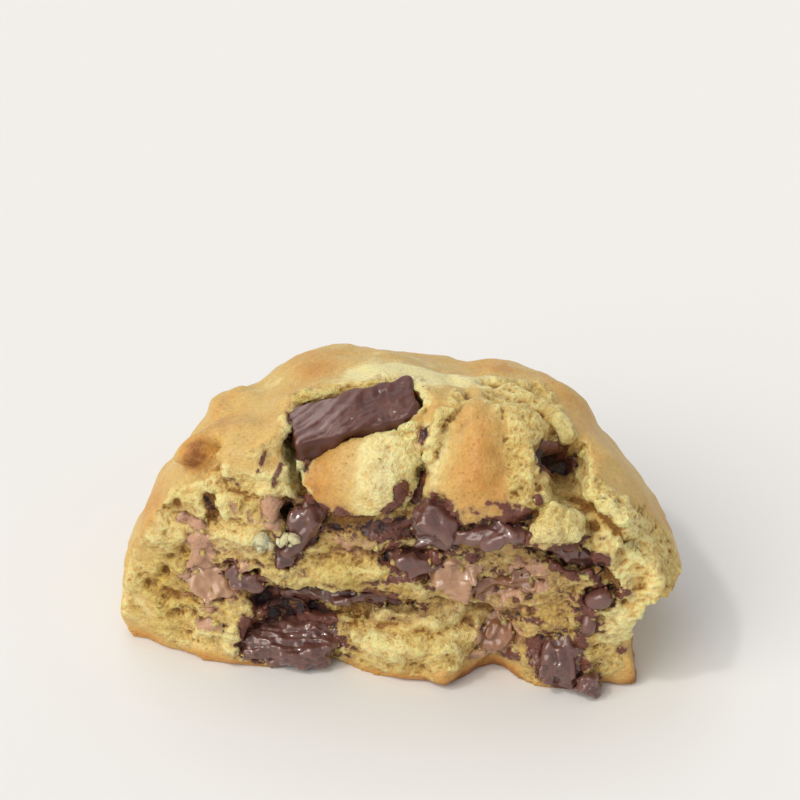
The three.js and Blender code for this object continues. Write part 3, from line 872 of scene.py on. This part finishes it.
MILK_SMEARS: tuple[Mark, ...] = (
    (((13, -1.5, 26), (19, -1, 24.5), (25, -0.5, 27.5)), 4.2, 0.42),
    (((14, -1, 17.5), (22, -1, 16.5), (28, -1.5, 20)), 4, 0.4),
    (((18, -1, 11), (26, -1.5, 12)), 3.2, 0.36),
    (((-12, -2, 28.5), (-4, -1.8, 28.5), (2, -1.5, 29)), 3, 0.45),
    (((-30, -3, 18), (-26, -3, 22.5)), 3.4, 0.4),
    (((-4, -2, 12.6), (4, -1.8, 13.4), (11, -1.4, 14.6)), 1.8, 0.4),
    (((25.9, 12, 38), (26.4, 13.7, 34.8), (27.6, 12, 33.2)), 2.6, 0.28),
    (((-21.3, -2.4, 34.4), (-21.6, -0.4, 31), (-21.4, -0.8, 29.4)), 1.7, 1),
    (((-21.5, -2, 34), (-17, -1, 34.2)), 0.96, 1),
    (((-34.6, -0.7, 23.4), (-33, -2.6, 19), (-29, -3, 15.5)), 2.1, 1),
    (((-31, -3.8, 20.1), (-27, -3.4, 21)), 1.4, 1),
    (((-33.9, -3.9, 8.2), (-31.5, -4, 8)), 1, 1),
    (((-28.4, -2, 33.6), (-27.6, -2.2, 31.5)), 0.6, 0.56),
    (((-25.4, -2.2, 32), (-25, -2.2, 30.2)), 0.5, 0.56),
    (((-37.5, -1, 29), (-34.5, -1.4, 27.6)), 1.2, 0.8),
    (((-9.6, -1.2, 27.6), (-6, -1.4, 26.8)), 1.9, 0.8),
    (((9.8, -0.6, 27.6), (11.2, -3.4, 23.4), (12, -2.2, 19.6)), 1.7, 1),
    (((14, -1.6, 19.8), (18.7, -1.5, 21.2), (24, -0.7, 24.4)), 1.6, 1),
    (((20, -0.8, 23.4), (24.7, -1.4, 22.6)), 1.8, 0.7),
    (((16, -0.6, 14.8), (24, -0.8, 15.6)), 1.1, 0.6),
    (((17.2, -1.2, 10.4), (17, -1.4, 6.8)), 1.5, 1),
    (((21, 0.2, 9.4), (19.6, 0.5, 11.2)), 1, 0.8),
    (((24.5, -2.3, 7.4), (25.3, -2.4, 4)), 1.2, 0.8),
    (((-3, -2, 17.2), (5, -1.6, 17.6)), 0.72, 0.5),
)

# Holes that gas left in the crumb: place and radius
PORES = (
    ((-37.5, -1.4, 21.3), 1.35),
    ((-41.2, -0.3, 16.2), 1),
    ((-40, -0.8, 19.6), 0.8),
    ((-32.2, -2, 30.4), 1),
    ((-36.5, -1.3, 24.8), 0.8),
    ((-43.7, -0.1, 12.8), 1),
    ((-35.5, -2.4, 12), 0.8),
    ((-38.6, 0.7, 30.4), 0.8),
    ((-44.3, 0.2, 22), 0.7),
    ((-24.5, -2.8, 19.5), 0.8),
    ((-19.1, 0.5, 30.9), 1.3),
    ((22.7, -0.8, 18), 0.6),
    ((20.4, -0.8, 17), 0.6),
    ((38.5, 0, 29), 1.1),
    ((41.5, 0, 22), 1.1),
    ((34.5, 0.5, 25.5), 1),
    ((37, -0.5, 15), 0.9),
    ((33, 2, 33), 1),
    ((43.5, 0.5, 17.5), 0.8),
)


@dataclass
class Dough:
    """The baked dough of the half cookie: crust, plates and torn crumb in one mesh.

    Attributes:
        node: The node that it stands for.
        radius: Radius of the dome that the crust lies on, in millimetres.
        rise: Height of the dome over its widest level.
        undercut: How far its underside would reach below that level.
        bulge_level: Height of the widest level.
        middle_behind_tear: How far the middle of the dome lies behind the tear.
        dome_power: 2 for an ellipsoid, less for a more pointed dome.
        voxel: Size of the mesh's squares, before the torn ones are split.
        smoothing: Rounds of smoothing after the remesh.
        evening: Rounds that even out the side that the photo doesn't show.
        fine_above: Height in millimetres over which torn squares are split.
    """

    node: str = "dough"
    radius: float = 49.5
    rise: float = 39.0
    undercut: float = 27.0
    bulge_level: float = 11.5
    middle_behind_tear: float = 8.5
    dome_power: float = 1.86
    voxel: float = 0.76
    smoothing: int = 4
    evening: int = 70
    fine_above: float = 0.9

    def build(self) -> bpy.types.Object:
        """Makes the mesh and paints its masks."""
        piece = copy_of_node(self.node, "cookie_dough")
        remesh(piece, self.voxel, self.smoothing)
        points = points_of(piece)
        points += unseen(points)[:, None] * (evened(piece, self.evening)[0] - points)
        for centre, radius, depth in PRESSED:
            points[:, 2] -= depth * spot(points, centre, radius)
        move_to(piece, points)
        normals = normals_of(piece)
        crust = self.crust(points, normals)
        paint(piece, Paint.TORN, 1 - crust)
        height, cracks = self.lumps(points, 1 - crust)
        # The cracks' depth is kept in the painted shading mask until the crumb is torn; it paints shade down
        # them
        paint(piece, Paint.RELIEF, cracks)
        move_to(piece, points + normals * height[:, None])
        shown = (1 - crust > 0.06) & (points[:, 2] > self.fine_above)
        divide_where(piece, shown)
        apply_modifier(piece, "SMOOTH", factor=0.5, iterations=1)
        self.tear(piece)
        return piece

    def crust(self, points: np.ndarray, normals: np.ndarray) -> np.ndarray:
        """Where the surface is baked crust: 1 there, 0 where it was torn."""
        offset = points - (0.0, self.middle_behind_tear, self.bulge_level)
        depth = np.where(offset[:, 2] > 0, self.rise, self.undercut)
        power = np.where(offset[:, 2] > 0, self.dome_power, 2.0)
        across = np.hypot(offset[:, 0], offset[:, 1]) / self.radius
        level = (across**power + (np.abs(offset[:, 2]) / depth) ** power) ** (1 / power)
        outward = offset / np.stack([np.full(len(points), self.radius)] * 2 + [depth], axis=1) ** 2
        outward /= np.linalg.norm(outward, axis=1)[:, None]
        facing = np.einsum("ij,ij->i", normals, outward) + 0.25 * bumps(points, 2.2, 1.0)
        dome = smoothstep(level + 0.015 * bumps(points, 3.0, 2.0), 0.89, 0.93) * smoothstep(facing, 0.2, 0.5)
        base = (points[:, 2] < 1.0) * smoothstep(-normals[:, 2], 0.3, 0.7)
        foot = 1 - smoothstep(points[:, 2] + 1.1 * fractal(points, 3.2, 33.0), 0.9, 1.9)
        crust = np.maximum.reduce([dome, base, foot] + [plate.crust(points, normals) for plate in PLATES])
        ragged = squeezed(warped(points, 2.4, 1.2, 5.0)) + 0.5 * bumps(points, 0.9, 29.0)[:, None]
        for line, reach in BROKEN:
            crust *= smoothstep(distance_to_line(ragged, line) / reach, 0.85, 1.1)
        for line, reach in SKINNED:
            np.maximum(crust, 1 - smoothstep(distance_to_line(ragged, line) / reach, 0.8, 1.1), out=crust)
        return crust

    def lumps(self, points: np.ndarray, torn: np.ndarray) -> tuple[np.ndarray, np.ndarray]:
        """How far the surface moves out, by crumb clumps and crust swellings, and its cracks' depth."""
        bent = warped(points, 5.0, 2.0, 1.0)
        clump, _ = grains(bent, (6.4, 6.4, 3.8), 1.0)
        height = torn * (0.3 * clump - 0.15 + 1.15 * fractal(bent, (10.0, 8.0, 4.6), 2.0, 2))
        height += (1 - torn) * (0.55 * bumps(points, 7.0, 6.0) + 0.25 * bumps(points, 2.8, 7.0))
        height += unseen(points, 16.0, 30.0) * (1 - torn) * 1.3 * bumps(points, 15.0, 39.0)
        ragged = squeezed(warped(points, 2.2, 1.1, 3.0))
        cracks = np.zeros(len(points))
        for line, width, depth in STROKES:
            cracks += depth * np.exp(-((distance_to_line(ragged, line) / width) ** 2))
        return (height - cracks) * smoothstep(points[:, 2], 0.2, 1.6), cracks

    def tear(self, piece: bpy.types.Object) -> None:
        """Breaks the torn surface into crumb and crags, and paints browning, stains, dampness and its
        shading: painted shade in hollows and down cracks, painted light on crests.
        """
        points, normals = points_of(piece), normals_of(piece)
        torn = painted(piece, Paint.TORN)
        bent = warped(points, 2.4, 1.0, 2.0)
        height = self.crumb(points, bent)
        dark, dark_edge = self.stained(points, bent, torn, Slot.DARK)
        milk, milk_edge = self.stained(points, bent, torn, Slot.MILK)
        height = height + dark_edge + milk_edge
        film = smoothstep(np.maximum(dark, milk), 0.45, 0.75)
        film_thick_and_lit = smoothstep(np.maximum(dark, milk), 0.6, 1.0)
        move = torn * height * (1 - 0.5 * film_thick_and_lit) + 0.1 * film + 0.25 * film_thick_and_lit
        skin, _ = grains(points, 1.3, 4.0)
        move += (1 - torn) * (0.05 * skin + 0.12 * bumps(points, 1.7, 8.0))
        flat = squeezed(points)
        for centre, radius in PORES:
            reach = distance_to_line(flat, (centre,)) / radius
            move -= 1.2 * radius * np.exp(-(reach**2)) * torn
        move *= smoothstep(points[:, 2], 0.2, 1.2)
        move_to(piece, points + normals * move[:, None])
        moist = 0.3 + 0.5 * fractal(points, 9.0, 31.0)
        for centre, radius, strength in DAMP_AND_LIT:
            moist += strength * spot(points, centre, radius)
        # Painted shading: painted light where the crumb stands out, painted shade in hollows and down the
        # cracks, and painted light where the damp strengths are negative
        relief = 0.57 + 0.9 * standing_out(piece, 14) + 0.36 * standing_out(piece, 90)
        relief += 0.4 * np.clip(-moist, 0, 0.6) - 0.14 * np.clip(painted(piece, Paint.RELIEF), 0, 4)
        paint(piece, Paint.RELIEF, np.clip(relief, 0, 1))
        paint(piece, Paint.DARK, dark)
        paint(piece, Paint.MILK, milk * (1 - dark))
        paint(piece, Paint.BAKED, self.browning(points))
        paint(piece, Paint.DAMP_AND_LIT, np.clip(moist, 0, 1))

    @staticmethod
    def crumb(points: np.ndarray, bent: np.ndarray) -> np.ndarray:
        """How far torn crumb stands out in clumps and crags smaller than those of lumps.

        Args:
            points: Places in millimetres, one a row.
            bent: The same places warped.

        Returns:
            One height in millimetres a point.
        """
        granular = 0.12 + 0.36 * smoothstep(points[:, 0], 20.0, 32.0)
        clump, _ = grains(bent, (2.0, 2.0, 1.6), 2.0)
        hole, chance = grains(bent, (3.4, 3.4, 2.4), 30.0)
        height = 0.42 * fractal(bent, (4.8, 3.6, 2.6), 23.0) + granular * (0.6 * clump - 0.3)
        height += 0.22 * bumps(bent, 1.5, 24.0) + 0.26 * crests(points, 0.95, 25.0)
        height -= 0.4 * smoothstep(hole, 0.72, 0.98) * (chance > 0.93)
        for centre, radius in CALM:
            height *= 1 - 0.85 * spot(points, centre, radius)
        return height

    def stained(
        self, points: np.ndarray, bent: np.ndarray, torn: np.ndarray, slot: Slot
    ) -> tuple[np.ndarray, np.ndarray]:
        """How one kind of chocolate stains the dough: smears, and what spread from the melted pieces.

        Args:
            points: Places in millimetres, one a row.
            bent: The same places warped.
            torn: Where the dough is torn.
            slot: The kind of chocolate.

        Returns:
            How thickly it covers each point, and how far torn crumb stands out along its edge.
        """
        smears, seed = {Slot.DARK: (DARK_SMEARS, 36.0), Slot.MILK: (MILK_SMEARS, 37.0)}[slot]
        near = distance_to_nodes(points, [piece.node for piece in MELTED if piece.slot == slot])
        wander = 1.1 * bumps(points, 2.6, 26.0) + 0.5 * bumps(points, 0.9, 27.0)
        streaks = 0.28 + 0.75 * fractal(bent, (3.4, 3.4, 1.3), seed)
        streaks *= (0.35 + 0.65 * torn) * (1 - smoothstep(near, 1.0, 6.5))
        spread = 1 - smoothstep(near - wander, -0.4, 1.7)
        cover = np.maximum.reduce([self.smeared(points, smears), spread, streaks])
        return cover, (1 - smoothstep(near, 0.4, 2.4)) * (0.1 + 1.5 * bumps(bent, 2.2, 28.0))

    @staticmethod
    def smeared(points: np.ndarray, smears: Sequence[Mark]) -> np.ndarray:
        """How thickly chocolate covers each point: 1 amid a smear, over 0.5 as far as it is wide."""
        ragged = 0.4 * bumps(points, 1.3, 9.0) + 0.4 * bumps(points, 3.0, 10.0)
        flat = squeezed(points)
        cover = np.zeros(len(points))
        for line, width, strength in smears:
            reach = distance_to_line(flat, line) / width
            cover = np.maximum(cover, strength * (1 - smoothstep(reach + ragged, 0.3, 1.9)))
        return cover

    @staticmethod
    def browning(points: np.ndarray) -> np.ndarray:
        """How browned the crust is: 0 pale, 0.3 golden, 0.6 amber, 1 dark brown."""
        baked = 0.36 + 0.05 * bumps(points, 12.0, 11.0)
        baked += unseen(points) * (0.05 + 0.13 * fractal(points, 13.0, 40.0))
        flat = squeezed(points, 0.5)
        for centre, radius, strength in BROWNED:
            baked = baked + strength * spot(flat, squeezed(np.asarray(centre), 0.5), radius)
        for centre, radius, strength in PALE:
            baked = baked - strength * spot(points, centre, radius)
        foot = 1 - smoothstep(points[:, 2] + 0.8 * bumps(points, 3.0, 12.0), 0.6, 3.4)
        return np.clip(baked + 0.4 * foot, -0.4, 1.0)


@dataclass
class MeltedPiece:
    """A lump of chocolate that melted and was pulled about as the cookie was torn.

    Attributes:
        node: The node that it stands for.
        slot: Its material slot.
        voxel: Size of the mesh's squares, in millimetres.
        swell: Growth outwards, in millimetres.
        pull: How far its shape is pulled about at large, in millimetres.
        tatter: The same at the scale of its edge.
        strand: Height of the ropes along it, in millimetres.
        ripple: Height of the finer ridges along it.
        drawn: How many times longer the ropes are than wide.
        flat: Share of its depth along the line of sight that it keeps.
        sunk: How far it lies back along that line, in millimetres.
        top_sunk: How much further its top lies back.
        right_sunk: How much further its right end lies back.
        browned: Whether it takes the browner milk chocolate.
    """

    node: str
    slot: Slot
    voxel: float = 0.26
    swell: float = 0.25
    pull: float = 1.5
    tatter: float = 0.7
    strand: float = 0.45
    ripple: float = 0.0
    drawn: float = 3.6
    flat: float = 0.8
    sunk: float = 0.5
    top_sunk: float = 0.0
    right_sunk: float = 0.0
    browned: bool = False

    def build(self) -> bpy.types.Object:
        """Makes the mesh from the node's own form, pulled about and grown to fill the gap round it."""
        piece = copy_of_node(self.node, self.node + "_melted")
        remesh(piece, self.voxel, 4)
        points, normals = points_of(piece), normals_of(piece)
        moved = warped(points + self.swell * normals, 4.2, self.pull, 13.0)
        moved = warped(moved, 1.7, self.tatter, 14.0)
        low, high = moved.min(axis=0), moved.max(axis=0)
        depth = moved @ TOWARDS_VIEWER
        sunk = self.sunk + (1 - self.flat) * (depth - depth.mean())
        sunk += self.top_sunk * smoothstep(moved[:, 2], 0.6 * low[2] + 0.4 * high[2], high[2])
        sunk += self.right_sunk * smoothstep(moved[:, 0], 0.4 * low[0] + 0.6 * high[0], high[0])
        move_to(piece, moved - np.outer(sunk, TOWARDS_VIEWER))
        remesh(piece, self.voxel, 3)
        points, normals = points_of(piece), normals_of(piece)
        bent = warped(self.drawn_out(points), 2.4, 1.0, 5.0)
        move = self.strand * (1.8 * bumps(bent, 2.6, 15.0) + 0.6 * fractal(points, 2.2, 34.0, 2))
        move += self.ripple * (1.1 * crests(bent, 1.3, 16.0) + 0.4 * bumps(points, 0.8, 35.0))
        moved = points + normals * move[:, None]
        moved[:, 2] = np.maximum(moved[:, 2], 0.15)
        move_to(piece, moved)
        apply_modifier(piece, "SMOOTH", factor=0.5, iterations=3)
        # Painted shading: painted shade in the hollows of the lump and a painted highlight on its ridges
        paint(piece, Paint.RELIEF, np.clip(0.5 + 0.6 * standing_out(piece, 20), 0, 1))
        return piece

    def drawn_out(self, points: np.ndarray) -> np.ndarray:
        """Squeezes the piece along its longest axis, so that patterns read there come out drawn along it."""
        offset = points - points.mean(axis=0)
        longest = np.linalg.eigh(offset.T @ offset)[1][:, -1]
        return points - np.outer(offset @ longest, longest) * (1 - 1 / self.drawn)


MELTED = (
    MeltedPiece("melted_pool_left", Slot.DARK, strand=0.7, ripple=0.4, top_sunk=3.0),
    MeltedPiece("melted_seam", Slot.DARK, ripple=0.3, right_sunk=5.0),
    MeltedPiece("small_chunk_left", Slot.DARK, swell=-0.1, pull=0.9, ripple=0.25, drawn=1.4, sunk=0.6),
    MeltedPiece("melted_smear_left", Slot.DARK, pull=2.2, tatter=1.0, flat=0.6),
    MeltedPiece("chunk_middle_upper", Slot.DARK, swell=-0.1, pull=2.0, ripple=0.1, flat=0.6, top_sunk=1.8),
    MeltedPiece("chunk_middle_lower", Slot.DARK, pull=2.2, tatter=1.0, ripple=0.15, flat=0.6, sunk=0.8),
    MeltedPiece("melted_drop_middle", Slot.DARK),
    MeltedPiece("melted_lip_right", Slot.DARK, swell=0.0, tatter=1.0, sunk=1.1),
    MeltedPiece("melted_band_right", Slot.DARK, swell=0.0, tatter=0.9, ripple=0.1, sunk=1.1),
    MeltedPiece("chip_right", Slot.DARK, swell=-0.5, pull=0.3, tatter=0.1, strand=0.0, flat=1.0, sunk=1.0),
    MeltedPiece("chip_right_lower", Slot.DARK, swell=-0.3, pull=0.6, tatter=0.2, strand=0.2, sunk=0.9),
    MeltedPiece("chunk_bottom_right", Slot.DARK, pull=2.2, tatter=1.1, ripple=0.3, flat=0.6),
    MeltedPiece("crumb_foot_right", Slot.DARK, ripple=0.4, flat=1.0, sunk=0.0),
    MeltedPiece("milk_smear_middle", Slot.MILK, pull=2.8, tatter=1.2, ripple=0.1, flat=0.4, sunk=1.1),
    MeltedPiece(
        "milk_smear_right", Slot.MILK, pull=2.4, tatter=1.2, ripple=0.15, flat=0.5, sunk=1.2, browned=True
    ),
    MeltedPiece(
        "milk_flake_lower", Slot.MILK, pull=2.2, tatter=1.2, ripple=0.3, flat=0.5, sunk=0.6, browned=True
    ),
    MeltedPiece("milk_smear_left", Slot.MILK, pull=2.6, tatter=1.2, ripple=0.1, flat=0.35, sunk=2.1),
)


@dataclass
class Slab:
    """The block of chocolate on the top of the cookie, scraped and dimpled, its lower edge melted."""

    node: str = "chocolate_slab"
    at: Point = (-8.7, 9.5, 44.2)
    size: Point = (21.8, 9.2, 7.6)
    turn: Point = (14.0, -6.0, 21.0)
    bevel: float = 0.7
    voxel: float = 0.22

    def build(self) -> bpy.types.Object:
        """Makes a bevelled block, then dents and scrapes it."""
        bpy.ops.object.select_all(action="DESELECT")
        bpy.ops.mesh.primitive_cube_add(size=1.0, location=(0, 0, 0))
        piece = bpy.context.active_object
        piece.name = piece.data.name = self.node + "_block"
        move_to(piece, points_of(piece) * MM * np.asarray(self.size))
        bpy.ops.object.mode_set(mode="EDIT")
        bpy.ops.mesh.select_all(action="SELECT")
        bpy.ops.mesh.bevel(offset=self.bevel * MM, segments=3, affect="EDGES")
        bpy.ops.object.mode_set(mode="OBJECT")
        remesh(piece, self.voxel, 2)
        points, normals = points_of(piece), normals_of(piece)
        bent = warped(points, 6.0, 1.0, 7.0)
        top = smoothstep(normals[:, 2], 0.3, 0.8)
        wavy = 0.8 * bumps(points, 5.0, 16.0) + 0.55 * bumps(points, 2.2, 17.0)
        scrapes = self.across(bent, 32.0)
        scraped = top * (0.4 + 0.6 * (1 - smoothstep(points[:, 0], -3.0, 3.0)))
        dimples, _ = grains(points, 1.5, 6.0)
        move = wavy + 0.12 * scrapes * scraped - 0.14 * np.clip(dimples, 0, 1) * top * (1 - scraped)
        move += 0.12 * top * crests(bent, 1.8, 38.0)
        melted = 1 - smoothstep(points[:, 2], -0.5 * self.size[2], -0.1 * self.size[2])
        move += melted * 0.5 * bumps(points, (2.4, 2.4, 6.0), 18.0)
        points = (points + normals * move[:, None]) @ turned(self.turn).T + np.asarray(self.at)
        move_to(piece, points)
        # Painted sheen: the top is painted lighter, most at its left end and along the scrapes; painted
        # shade in its dents and painted light on its bumps
        sheen = (1 - 0.85 * smoothstep(points[:, 0] + 2.0 * bumps(points, 3.0, 32.0), -15.0, -6.0)) * top
        relief = 0.44 + 0.9 * standing_out(piece, 16) + sheen * (0.34 + 0.4 * scrapes)
        paint(piece, Paint.RELIEF, np.clip(relief, 0, 1))
        return piece

    @staticmethod
    def across(points: np.ndarray, degrees: float) -> np.ndarray:
        """Fine parallel scrapes at an angle across the top."""
        a = math.radians(degrees)
        u = points[:, 0] * math.cos(a) + points[:, 1] * math.sin(a)
        v = points[:, 1] * math.cos(a) - points[:, 0] * math.sin(a)
        return bumps(np.stack([u / 9.0, v / 0.7, points[:, 2] / 9.0], axis=1), 1.0, 19.0)


@dataclass
class LooseCrumbs:
    """Crumbs that fell on the torn face, each a small lump of one mesh.

    Attributes:
        placed: Crumbs given one by one: place and radius.
        count: Crumbs on the dough, those given one by one among them.
        count_stuck: Crumbs stuck to the chocolate.
        smallest: Least radius, in millimetres.
        largest: Greatest radius.
        seed: Seed of the random draws.
    """

    placed: tuple[tuple[Point, float], ...] = (
        ((-23.2, -2.6, 27.3), 1.2),
        ((-22.2, -2.7, 26.0), 1.0),
        ((-23.4, -3.0, 25.0), 0.9),
        ((-24.4, -3.0, 26.2), 0.7),
        ((-18.9, -3.4, 28.0), 1.1),
        ((-17.3, -3.9, 28.7), 0.9),
        ((-19.8, -3.0, 27.0), 0.7),
        ((-18.0, -3.6, 27.0), 0.5),
    )
    count: int = 130
    count_stuck: int = 420
    smallest: float = 0.15
    largest: float = 0.6
    seed: int = 11

    def build(self, dough: bpy.types.Object, lumps: Sequence[bpy.types.Object]) -> bpy.types.Object:
        """Scatters crumbs over the torn dough, and sticks more of them to the edges of the chocolate.

        Args:
            dough: The dressed dough.
            lumps: The melted pieces of chocolate.

        Returns:
            One mesh of all the crumbs.
        """
        draw = random.Random(self.seed)
        points, normals = points_of(dough), normals_of(dough)
        torn = painted(dough, Paint.TORN)
        clean = painted(dough, Paint.DARK) < 0.4
        able = np.flatnonzero((torn > 0.8) & clean & (points[:, 2] > 2.0) & (normals[:, 2] > -0.1))
        near = self.edges(dough, lumps)
        bpy.ops.object.select_all(action="DESELECT")
        bpy.ops.mesh.primitive_cube_add(size=2.0, location=(0, 0, 0))
        piece = bpy.context.active_object
        piece.name = "loose_crumbs"
        apply_modifier(piece, "SUBSURF", levels=1, subdivision_type="SIMPLE")
        ball = points_of(piece) * MM
        ball /= np.linalg.norm(ball, axis=1)[:, None]
        faces = np.array([face.vertices[:] for face in piece.data.polygons])
        places, corners, soaked = [], [], []
        for index in range(self.count + self.count_stuck):
            row = int(able[draw.randrange(len(able))])
            radius = self.smallest + (self.largest - self.smallest) * draw.random() ** 2.5
            shape = ball * (1 + 1.1 * bumps(ball, 0.9, 20.0 + index))[:, None]
            stretch = np.array([draw.uniform(0.5, 1.5) for _ in range(3)])
            at = points[row] + 0.15 * radius * normals[row]
            if index < len(self.placed):
                at, radius = self.placed[index]
            if index >= self.count:
                at = near[draw.randrange(len(near))]
            places.append(at + radius * stretch * shape)
            corners.append(faces + index * len(ball))
            soaked.append(np.full(len(ball), draw.uniform(0.2, 0.75) * (index >= self.count)))
        mesh = bpy.data.meshes.new("loose_crumbs")
        vertices = np.concatenate(places)
        mesh.from_pydata((vertices * MM).tolist(), [], np.concatenate(corners).tolist())
        piece.data = mesh
        paint(piece, Paint.TORN, np.ones(len(vertices)))
        floury = np.arange(len(vertices)) < len(self.placed) * len(ball)
        paint(piece, Paint.BAKED, np.where(floury, -0.4, 0.1))
        paint(piece, Paint.RELIEF, 0.5 + 0.4 * bumps(vertices, 1.0, 21.0))
        paint(piece, Paint.DARK, np.concatenate(soaked))
        for mask in (Paint.MILK, Paint.DAMP_AND_LIT):
            paint(piece, mask, np.zeros(len(vertices)))
        return piece

    @staticmethod
    def edges(dough: bpy.types.Object, lumps: Sequence[bpy.types.Object]) -> np.ndarray:
        """Places on the chocolate close to where it meets the dough."""
        points = np.concatenate([points_of(lump) for lump in lumps])
        faces = [face.vertices[:] for face in dough.data.polygons]
        tree = BVHTree.FromPolygons(points_of(dough).tolist(), faces)
        reach, close = 1.2, 0.7
        hits = [tree.find_nearest(place, reach) for place in points.tolist()]
        chosen = [
            row
            for row, (at, normal, _, gap) in enumerate(hits)
            if at and gap < close and (Vector(points[row]) - at).dot(normal) > 0.0
        ]
        return points[chosen]


@dataclass
class Studio:
    """The pale floor, soft lights and camera."""

    camera_at: Point = (61.6, -389.1, 329.8)
    focal_length: float = 130.7
    sensor_width: float = 36.0
    floor_side: float = 3000.0
    room: float = 0.58
    daylight: tuple[tuple[str, Point, float, float, str], ...] = (
        ("window", (-0.52, -0.56, 0.64), 50.0, 1.7, "FFF8EE"),
        ("pane", (-0.45, -0.30, 0.84), 5.0, 0.5, "FFFDF8"),
        ("skylight", (-0.28, 0.46, 0.84), 40.0, 0.5, "EAF0FC"),
    )

    def build(self) -> None:
        """Sets the floor, the light and the camera."""
        self.floor()
        self.lights()
        self.camera()

    def floor(self) -> None:
        """Lays the floor under the cookie."""
        bpy.ops.object.select_all(action="DESELECT")
        bpy.ops.mesh.primitive_plane_add(size=self.floor_side * MM, location=(0, 0, 0))
        floor = bpy.context.active_object
        floor.name = "floor"
        floor.data.materials.append(PaperFloor().make())

    def lights(self) -> None:
        """A pale room all round, and soft daylight from above on the left."""
        world = bpy.data.worlds.new("pale room")
        world.use_nodes = True
        background = world.node_tree.nodes["Background"]
        background.inputs["Color"].default_value = srgb("FAFAFC")
        background.inputs["Strength"].default_value = self.room
        bpy.context.scene.world = world
        for name, towards, spread, strength, colour in self.daylight:
            bpy.ops.object.light_add(type="SUN", location=Vector(towards))
            lamp = bpy.context.active_object
            lamp.name = name
            lamp.data.angle = math.radians(spread)
            lamp.data.energy = strength
            lamp.data.color = srgb(colour)[:3]
            lamp.rotation_euler = Vector(towards).to_track_quat("Z", "Y").to_euler()

    def camera(self) -> None:
        """Looks down on the torn face as the photograph does."""
        bpy.ops.object.camera_add(location=Vector(self.camera_at) * MM)
        camera = bpy.context.active_object
        camera.rotation_euler = Vector(-TOWARDS_VIEWER).to_track_quat("-Z", "Y").to_euler()
        camera.data.lens = self.focal_length
        camera.data.sensor_width = self.sensor_width
        camera.data.clip_start = 0.01
        camera.data.clip_end = 20.0
        bpy.context.scene.camera = camera


def main() -> None:
    """Loads the frame, builds and dresses every piece, and sets the stage."""
    logging.basicConfig(level=logging.INFO, format="%(message)s")
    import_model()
    dough_finish = BakedDough().make()
    # Each chocolate: its own colour, then a painted highlight for its ridges and painted shade for its
    # hollows
    dark = Chocolate("dark_couverture", "684138", "86594C", "2E1B1C", 0.36).make()
    milk = Chocolate("milk_couverture", "B38866", "CDA888", "80563C", 0.3).make()
    browned = Chocolate("browned_milk_couverture", "936445", "B88A68", "623C28", 0.34).make()
    finishes = {Slot.DARK: dark, Slot.MILK: milk}

    dough = Dough().build()
    finish_piece(dough, Slot.DOUGH, dough_finish, "dough")
    slab = Slab()
    # The slab's highlight colour is a painted sheen, laid on by its painted shading mask
    block = Chocolate("set_couverture", "592D20", "947C78", "341E19", 0.46, 2.0, 0.15).make()
    finish_piece(slab.build(), Slot.DARK, block, slab.node)
    lumps = []
    for melted in MELTED:
        lumps.append(melted.build())
        finish = browned if melted.browned else finishes[melted.slot]
        finish_piece(lumps[-1], melted.slot, finish, melted.node)
    finish_piece(LooseCrumbs().build(dough, lumps), Slot.DOUGH, dough_finish)

    Studio().build()
    bpy.context.scene.view_settings.view_transform = "Standard"


if __name__ == "__main__":
    main()
